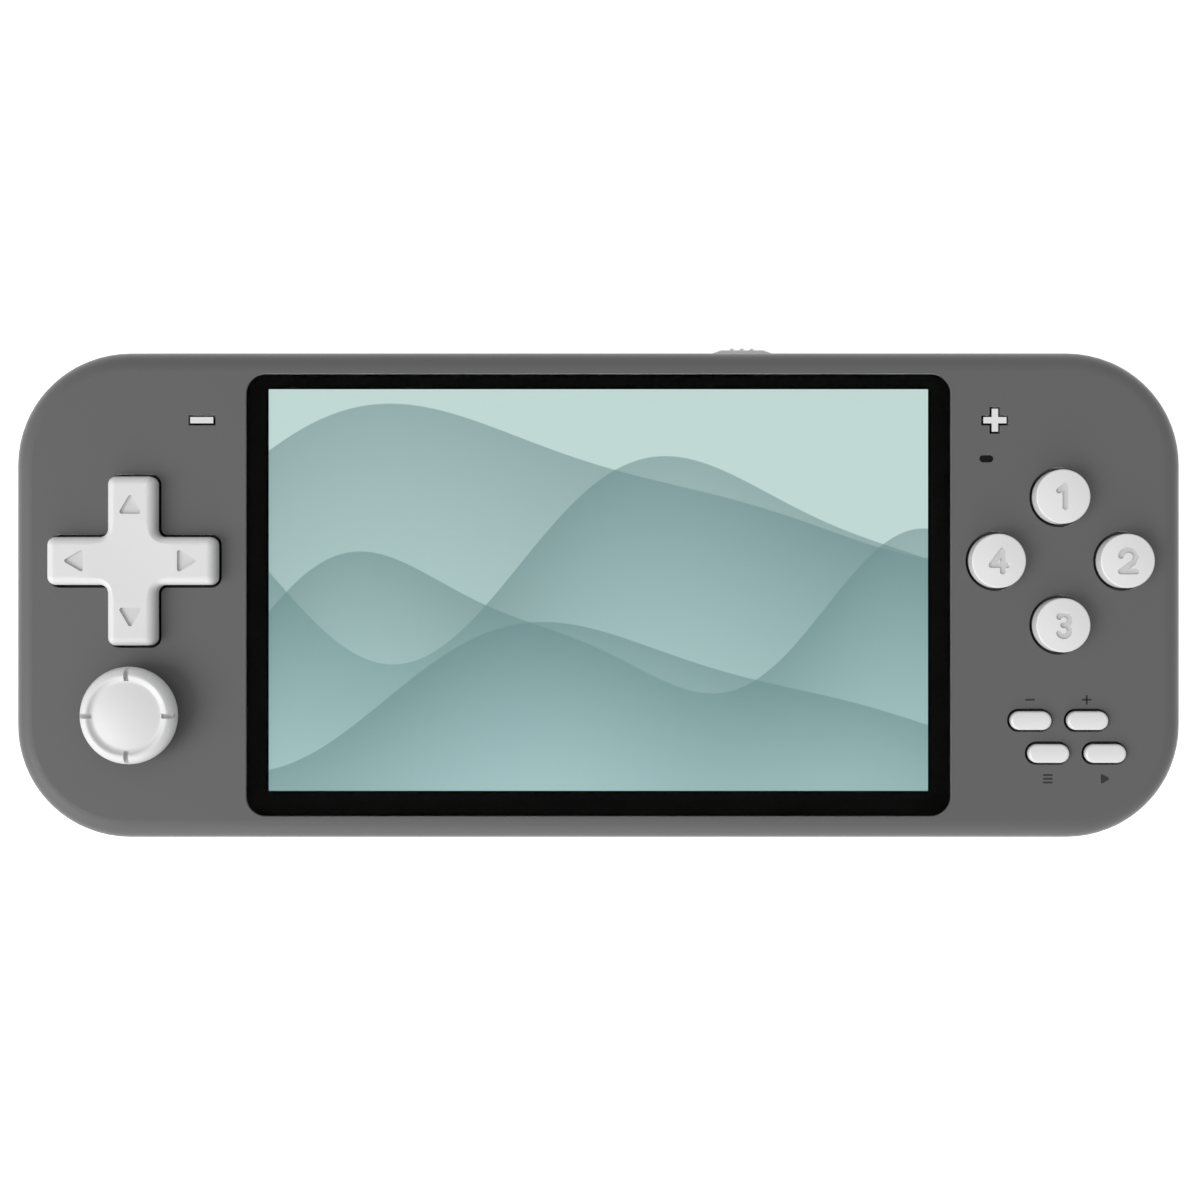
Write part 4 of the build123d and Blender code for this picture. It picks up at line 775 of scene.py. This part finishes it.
across_bar = superellipse(mark_span, mark_stroke, bar_power)
upright_bar = superellipse(mark_stroke, mark_span, bar_power)
marks = []
for name in ("volume_down", "volume_up"):
    middle = middle_of(f"{name}_button") + (0, volume_mark_lift)
    marks.append(printed_mark(f"{name}_mark_bar", across_bar, middle))
marks.append(printed_mark("volume_up_mark_upright", upright_bar, middle))
middle = middle_of("select_button") - (0, menu_mark_drop)
for row in (-1, 0, 1):
    place = middle + (0, row * bar_pitch)
    marks.append(printed_mark(f"select_mark_bar_{row + 2}", across_bar, place))
middle = middle_of("start_button") - (0, menu_mark_drop)
marks.append(printed_mark("start_mark_arrow", arrowhead(mark_span), middle))
print("printed marks", len(marks))

# %% [markdown]
# ## Cover lens with a soft edge
# A real cover lens has its top edge ground off by a hair, which draws a fine bright line round
# the screen, and it floats on its glue a few hundredths above the border. The lens's outline is a
# rectangle with round corners; rings of it are stacked up its wall, round the edge and in over the
# top, so one skin makes the whole lens.

# %% Cover lens
lens_corner = 2.8
lens_edge_round = 0.12
lens_lid_inset = 0.5
glue_gap = 0.03
points_per_corner = 12
points_per_edge = 5


def rounded_rectangle(length, width, corner):
    """Four quarter circles of the corner radius, joined by straight sides."""
    turn = np.linspace(0, np.pi / 2, points_per_corner)
    quarter = np.stack([np.cos(turn), np.sin(turn)], axis=-1) * corner
    reach = np.array([length / 2 - corner, width / 2 - corner])
    signs = np.array([[1, 1], [-1, 1], [-1, -1], [1, -1]])
    sides = [quarter * sign + reach * sign for sign in signs]
    sides[1] = sides[1][::-1]
    sides[3] = sides[3][::-1]
    return np.concatenate(sides)


def cover_lens():
    """Rings at the foot, up the wall, round the edge by a quarter circle and in to the middle."""
    low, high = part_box("screen_lens")
    size = (high - low) / mm
    bend = np.linspace(0, np.pi / 2, points_per_edge)
    drawn = np.concatenate([[lens_lid_inset, 0.0], lens_edge_round * (1 - np.cos(bend)),
                            [lens_lid_inset]])
    foot = low.z / mm + glue_gap
    top = high.z / mm
    heights = np.concatenate([[foot, foot], top - lens_edge_round * (1 - np.sin(bend)), [top]])
    rings = []
    for inset, height in zip(drawn, heights):
        flat = rounded_rectangle(size.x - 2 * inset, size.y - 2 * inset, lens_corner - inset)
        rings.append(np.column_stack([flat, np.full(len(flat), height)]))
    piece = closed_rings("cover_lens", np.stack(rings) * mm)
    piece.data.polygons.foreach_set("use_smooth", np.zeros(len(piece.data.polygons), bool))
    set_finish(piece, cover_glass)
    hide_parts("screen_lens")
    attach(piece, "root")
    return size


lens_size = cover_lens()
print("lens in mm", [round(value, 2) for value in lens_size])

# %% [markdown]
# ## Sound cloth and socket contacts
# Behind the sound slots in the rear shell, a fine black mesh keeps dust off each speaker cone.
# It is a shallow round dish just inside the slots, with a woven pattern in its finish. In the USB
# socket, rows of gilt contacts lie along both sides of the tongue, made by the same thin plate.

# %% Woven finish
thread_pitch = 0.3
wave_share = 0.3
gap_grey = grey(0.002)
thread_grey = grey(0.05)


def build_cloth():
    """Black mesh: two sets of wave lines at right angles give its threads."""
    material, tree, shader = start_material("sound cloth")
    place = add_node(tree, "ShaderNodeTexCoord").outputs["Object"]
    lines = []
    for direction in ("X", "Y"):
        scale = wave_share / (thread_pitch * mm)
        wave = add_node(tree, "ShaderNodeTexWave", {"Vector": place, "Scale": scale},
                        wave_type="BANDS", bands_direction=direction)
        lines.append(wave.outputs["Fac"])
    weave = math_node(tree, "MAXIMUM", *lines)
    colour = blend_colours(tree, weave, gap_grey, thread_grey)
    tree.links.new(colour, shader.inputs["Base Color"])
    set_sockets(shader, {"Roughness": 0.8, "Specular IOR Level": 0.3})
    bump_from(tree, shader, weave, depth_mm=0.08)
    return material


cloth_black = build_cloth()
print("threads lie", thread_pitch, "mm apart")

# %% Sound cloths
cloth_radius = 6.9
cloth_lift = 0.02
cloth_rise = 0.2
cloth_thick = 0.03
cloth_ring_shares = np.array([0.25, 0.5, 0.75, 1.0])
cloth_points = 48


def sound_cloth(name, speaker):
    """A shallow dish, z = lift + rise * (1 - r^2), closed by a second skin just above it."""
    middle = middle_of(speaker)
    floor_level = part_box(speaker)[0].z / mm
    shares = np.concatenate([cloth_ring_shares, cloth_ring_shares[::-1]])
    lifts = np.repeat([0, cloth_thick], len(cloth_ring_shares))
    turn = np.linspace(0, 2 * np.pi, cloth_points, endpoint=False)
    spread_out = shares[:, None] * cloth_radius
    x = middle[0] + spread_out * np.cos(turn)
    y = middle[1] + spread_out * np.sin(turn)
    rise = floor_level + cloth_lift + lifts[:, None] + cloth_rise * (1 - shares[:, None] ** 2)
    z = np.broadcast_to(rise, x.shape)
    piece = closed_rings(name, np.stack([x, y, z], axis=-1) * mm)
    set_finish(piece, cloth_black)
    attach(piece, "root")
    return piece


for side in ("left", "right"):
    sound_cloth(f"sound_cloth_{side}", f"speaker_{side}")

# %% Socket contacts
contact_count = 12
contact_pitch = 0.5
contact_width = 0.26
contact_length = 2.6
contact_thick = 0.03
tongue_tip_drop = 1.8
tongue_half = 0.35

socket_low, socket_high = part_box("usb_socket")
socket_middle = (socket_low + socket_high) / 2 / mm
contact_y = socket_high.y / mm - tongue_tip_drop - contact_length / 2 - contact_width
strip = superellipse(contact_width, contact_length, bar_power, count=24)
for row, side in (("upper", 1), ("lower", -1)):
    low = socket_middle.z + side * tongue_half - contact_thick / 2
    for index in range(contact_count):
        middle = (socket_middle.x + (index - (contact_count - 1) / 2) * contact_pitch, contact_y)
        piece = thin_plate(f"usb_contact_{row}_{index + 1}", strip, middle, low, contact_thick)
        set_finish(piece, contact_gold)
        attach(piece, "root")
print("socket contacts", 2 * contact_count)

# %% [markdown]
# ## Rubber domes
# Under the buttons lie sheets of silicone rubber with a hollow dome for each button. A press
# buckles the dome, and the dome lifts the button again. Each dome is a skin of its own, turned from
# a short profile. A sheet is an outline and a hole carried up, with a soft upper edge.

# %% Rubber sheets
sheet_thick = 0.8
sheet_round = 0.15
sheet_reach = 5.0
menu_sheet_corner = 1.7
cross_sheet_corner = 5.0
locating_hole = 0.6
post_hole = 2.8
action_pitch = 9.0


def rubber_sheet(node, outline, hole):
    """Outer wall, soft edge, top, soft edge of the hole, its wall and the base, in one loop."""
    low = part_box(node)[0].z / mm
    turn = np.arctan2(outline[:, 1], outline[:, 0])
    ring = np.stack([np.cos(turn), np.sin(turn)], axis=-1)
    inward = ring * sheet_round
    bore = ring * hole
    flat = np.stack([outline, outline, outline - inward, bore + inward, bore, bore])
    soft = sheet_thick - sheet_round
    heights = low + np.array([0, soft, sheet_thick, sheet_thick, soft, 0])
    high = np.broadcast_to(heights[:, None, None], flat.shape[:2] + (1,))
    points = np.concatenate([flat + middle_of(node), high], axis=-1) * mm
    index = np.arange(len(heights) * len(outline)).reshape(len(heights), -1)
    after = np.roll(index, -1, axis=1)
    above = np.roll(index, -1, axis=0)
    faces = np.stack([index, after, np.roll(above, -1, axis=1), above], axis=-1).reshape(-1, 4)
    mesh = bpy.data.meshes.new(f"{node}_sheet")
    mesh.from_pydata(points.reshape(-1, 3).tolist(), [], faces.tolist())
    piece = bpy.data.objects.new(f"{node}_sheet", mesh)
    bpy.context.scene.collection.objects.link(piece)
    set_finish(piece, membrane_rubber)
    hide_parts(node)
    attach(piece, "root")


print("sheets are", sheet_thick, "mm thick")

# %% Sheets under the buttons
side = action_pitch * np.sqrt(2) + 2 * sheet_reach
eighth_turn = np.array([[1, 1], [-1, 1]]) / np.sqrt(2)
menu_low, menu_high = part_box("menu_membrane")
menu_size = (menu_high - menu_low) / mm
cross_low, cross_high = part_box("dpad_membrane")
cross_size = (cross_high - cross_low) / mm
action_outline = rounded_rectangle(side, side, sheet_reach) @ eighth_turn
menu_outline = rounded_rectangle(menu_size.x, menu_size.y, menu_sheet_corner)
cross_outline = rounded_rectangle(cross_size.x, cross_size.y, cross_sheet_corner)
rubber_sheet("action_membrane", action_outline, locating_hole)
rubber_sheet("menu_membrane", menu_outline, locating_hole)
rubber_sheet("dpad_membrane", cross_outline, post_hole)
print("action sheet is", round(side, 1), "mm square")

# %% Rubber domes
dome_skin = 0.5
dome_top_share = 0.75
dome_points = 40
action_dome_radius = 4.2
small_dome_radius = 1.7
cross_pitch = 8.0
directions = {"top": (0, 1), "right": (1, 0), "bottom": (0, -1), "left": (-1, 0)}


def rubber_dome(name, node, middle, radius):
    """Rings down the hollow's wall and up the outside."""
    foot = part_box(node)[0].z / mm + sheet_thick
    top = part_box(node)[1].z / mm
    hollow = radius - dome_skin
    radii = np.array([hollow * dome_top_share / 2, hollow * dome_top_share, hollow,
                      radius, radius * dome_top_share, radius * dome_top_share / 2])
    heights = np.array([top - dome_skin, top - dome_skin, foot, foot, top, top])
    turn = np.linspace(0, 2 * np.pi, dome_points, endpoint=False)
    x = middle[0] + radii[:, None] * np.cos(turn)
    y = middle[1] + radii[:, None] * np.sin(turn)
    z = np.broadcast_to(heights[:, None], x.shape)
    piece = closed_rings(name, np.stack([x, y, z], axis=-1) * mm)
    set_finish(piece, membrane_rubber)
    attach(piece, "root")
    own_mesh(piece)
    return piece


domes = []
for name, step in directions.items():
    middle = middle_of("action_membrane") + action_pitch * np.array(step)
    domes.append(rubber_dome(f"action_dome_{name}", "action_membrane", middle, action_dome_radius))
    middle = middle_of("dpad_membrane") + cross_pitch * np.array(step)
    domes.append(rubber_dome(f"dpad_dome_{name}", "dpad_membrane", middle, small_dome_radius))
for name in pill_names:
    domes.append(rubber_dome(f"{name}_dome", "menu_membrane", middle_of(f"{name}_button"),
                             small_dome_radius))
print("rubber domes", len(domes))

# %% [markdown]
# ## Floor, background and light
# The console lies on a white floor. The floor takes the soft shade of the console, and a little
# light of its own, which only the camera and reflections see, lifts it to clean white. Like the
# glass table of a product studio, the floor is open under the console and clear from below, so
# that the rear, its screws and its sound slots get light and can be looked at.
#
# One wide soft lamp far off at the left lights all of the console alike: the left rims of the
# shell and of every cap are bright and their shade falls to the right. A weaker lamp low down in
# front picks out the lower rims, and the world fills in evenly.

# %% Floor
floor_half = 1.2
floor_corner = 0.1
opening_inset = 3.0
opening_corner = 13.0

rear_low, rear_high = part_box("rear_shell")
opening = [side / mm - 2 * opening_inset for side in rear_high - rear_low]
inner = rounded_rectangle(opening[0], opening[1], opening_corner) * mm
outer = rounded_rectangle(2 * floor_half, 2 * floor_half, floor_corner)
edge_count = len(inner)
flat_points = np.concatenate([inner + middle_of("rear_shell") * mm, outer])
floor_points = np.column_stack([flat_points, np.zeros(len(flat_points))])
here = np.arange(edge_count)
beyond = (here + 1) % edge_count
floor_faces = np.stack([here, here + edge_count, beyond + edge_count, beyond], axis=-1)
floor_mesh = bpy.data.meshes.new("studio_floor")
floor_mesh.from_pydata(floor_points.tolist(), [], floor_faces.tolist())
studio_floor = bpy.data.objects.new("studio_floor", floor_mesh)
bpy.context.scene.collection.objects.link(studio_floor)
print("floor", 2 * floor_half, "m wide, its opening", round(opening[0], 1), "mm")

# %% Floor finish
floor_glow = 0.72


def seen_directly(tree):
    """1 for rays from the camera, in a reflection or through glass, 0 for light on the object."""
    path = add_node(tree, "ShaderNodeLightPath").outputs
    seen = math_node(tree, "MAXIMUM", path["Is Camera Ray"], path["Is Glossy Ray"])
    return math_node(tree, "MAXIMUM", seen, path["Is Transmission Ray"])


floor_paint, floor_tree, floor_shader = start_material("floor paint")
set_sockets(floor_shader, {"Base Color": grey(0.8), "Roughness": 0.9, "Specular IOR Level": 0.0,
                           "Emission Color": grey(1)})
glow = math_node(floor_tree, "MULTIPLY", seen_directly(floor_tree), floor_glow)
floor_tree.links.new(glow, floor_shader.inputs["Emission Strength"])
from_below = add_node(floor_tree, "ShaderNodeNewGeometry").outputs["Backfacing"]
clear = add_node(floor_tree, "ShaderNodeBsdfTransparent").outputs[0]
one_sided = add_node(floor_tree, "ShaderNodeMixShader",
                     {0: from_below, 1: floor_shader.outputs[0], 2: clear})
floor_out = floor_tree.nodes["Material Output"]
floor_tree.links.new(one_sided.outputs[0], floor_out.inputs["Surface"])
set_finish(studio_floor, floor_paint)
print("floor glows by", floor_glow, "where it is seen")

# %% World and lamps
fill_level = 0.55
key_turn = (50, 0, -62)
key_width = 45
key_strength = 2.05
low_turn = (68, 0, -8)
low_width = 30
low_strength = 0.65


def build_world():
    """Even fill light; white where it is seen directly."""
    world = bpy.data.worlds.new("studio")
    world.use_nodes = True
    tree = world.node_tree
    strength = spread(tree, seen_directly(tree), fill_level, 1.0)
    background = tree.nodes["Background"]
    background.inputs["Color"].default_value = grey(1)
    tree.links.new(strength, background.inputs["Strength"])
    return world


def soft_lamp(name, turn, width, strength):
    """A lamp so far away that it lights evenly; its width in degrees softens every shade."""
    data = bpy.data.lights.new(name, "SUN")
    data.angle = np.radians(width)
    data.energy = strength
    lamp = bpy.data.objects.new(name, data)
    lamp.rotation_euler = np.radians(turn)
    bpy.context.scene.collection.objects.link(lamp)
    return lamp


bpy.context.scene.world = build_world()
key_lamp = soft_lamp("key_lamp", key_turn, key_width, key_strength)
low_lamp = soft_lamp("low_lamp", low_turn, low_width, low_strength)
print("lamps", key_lamp.name, low_lamp.name)
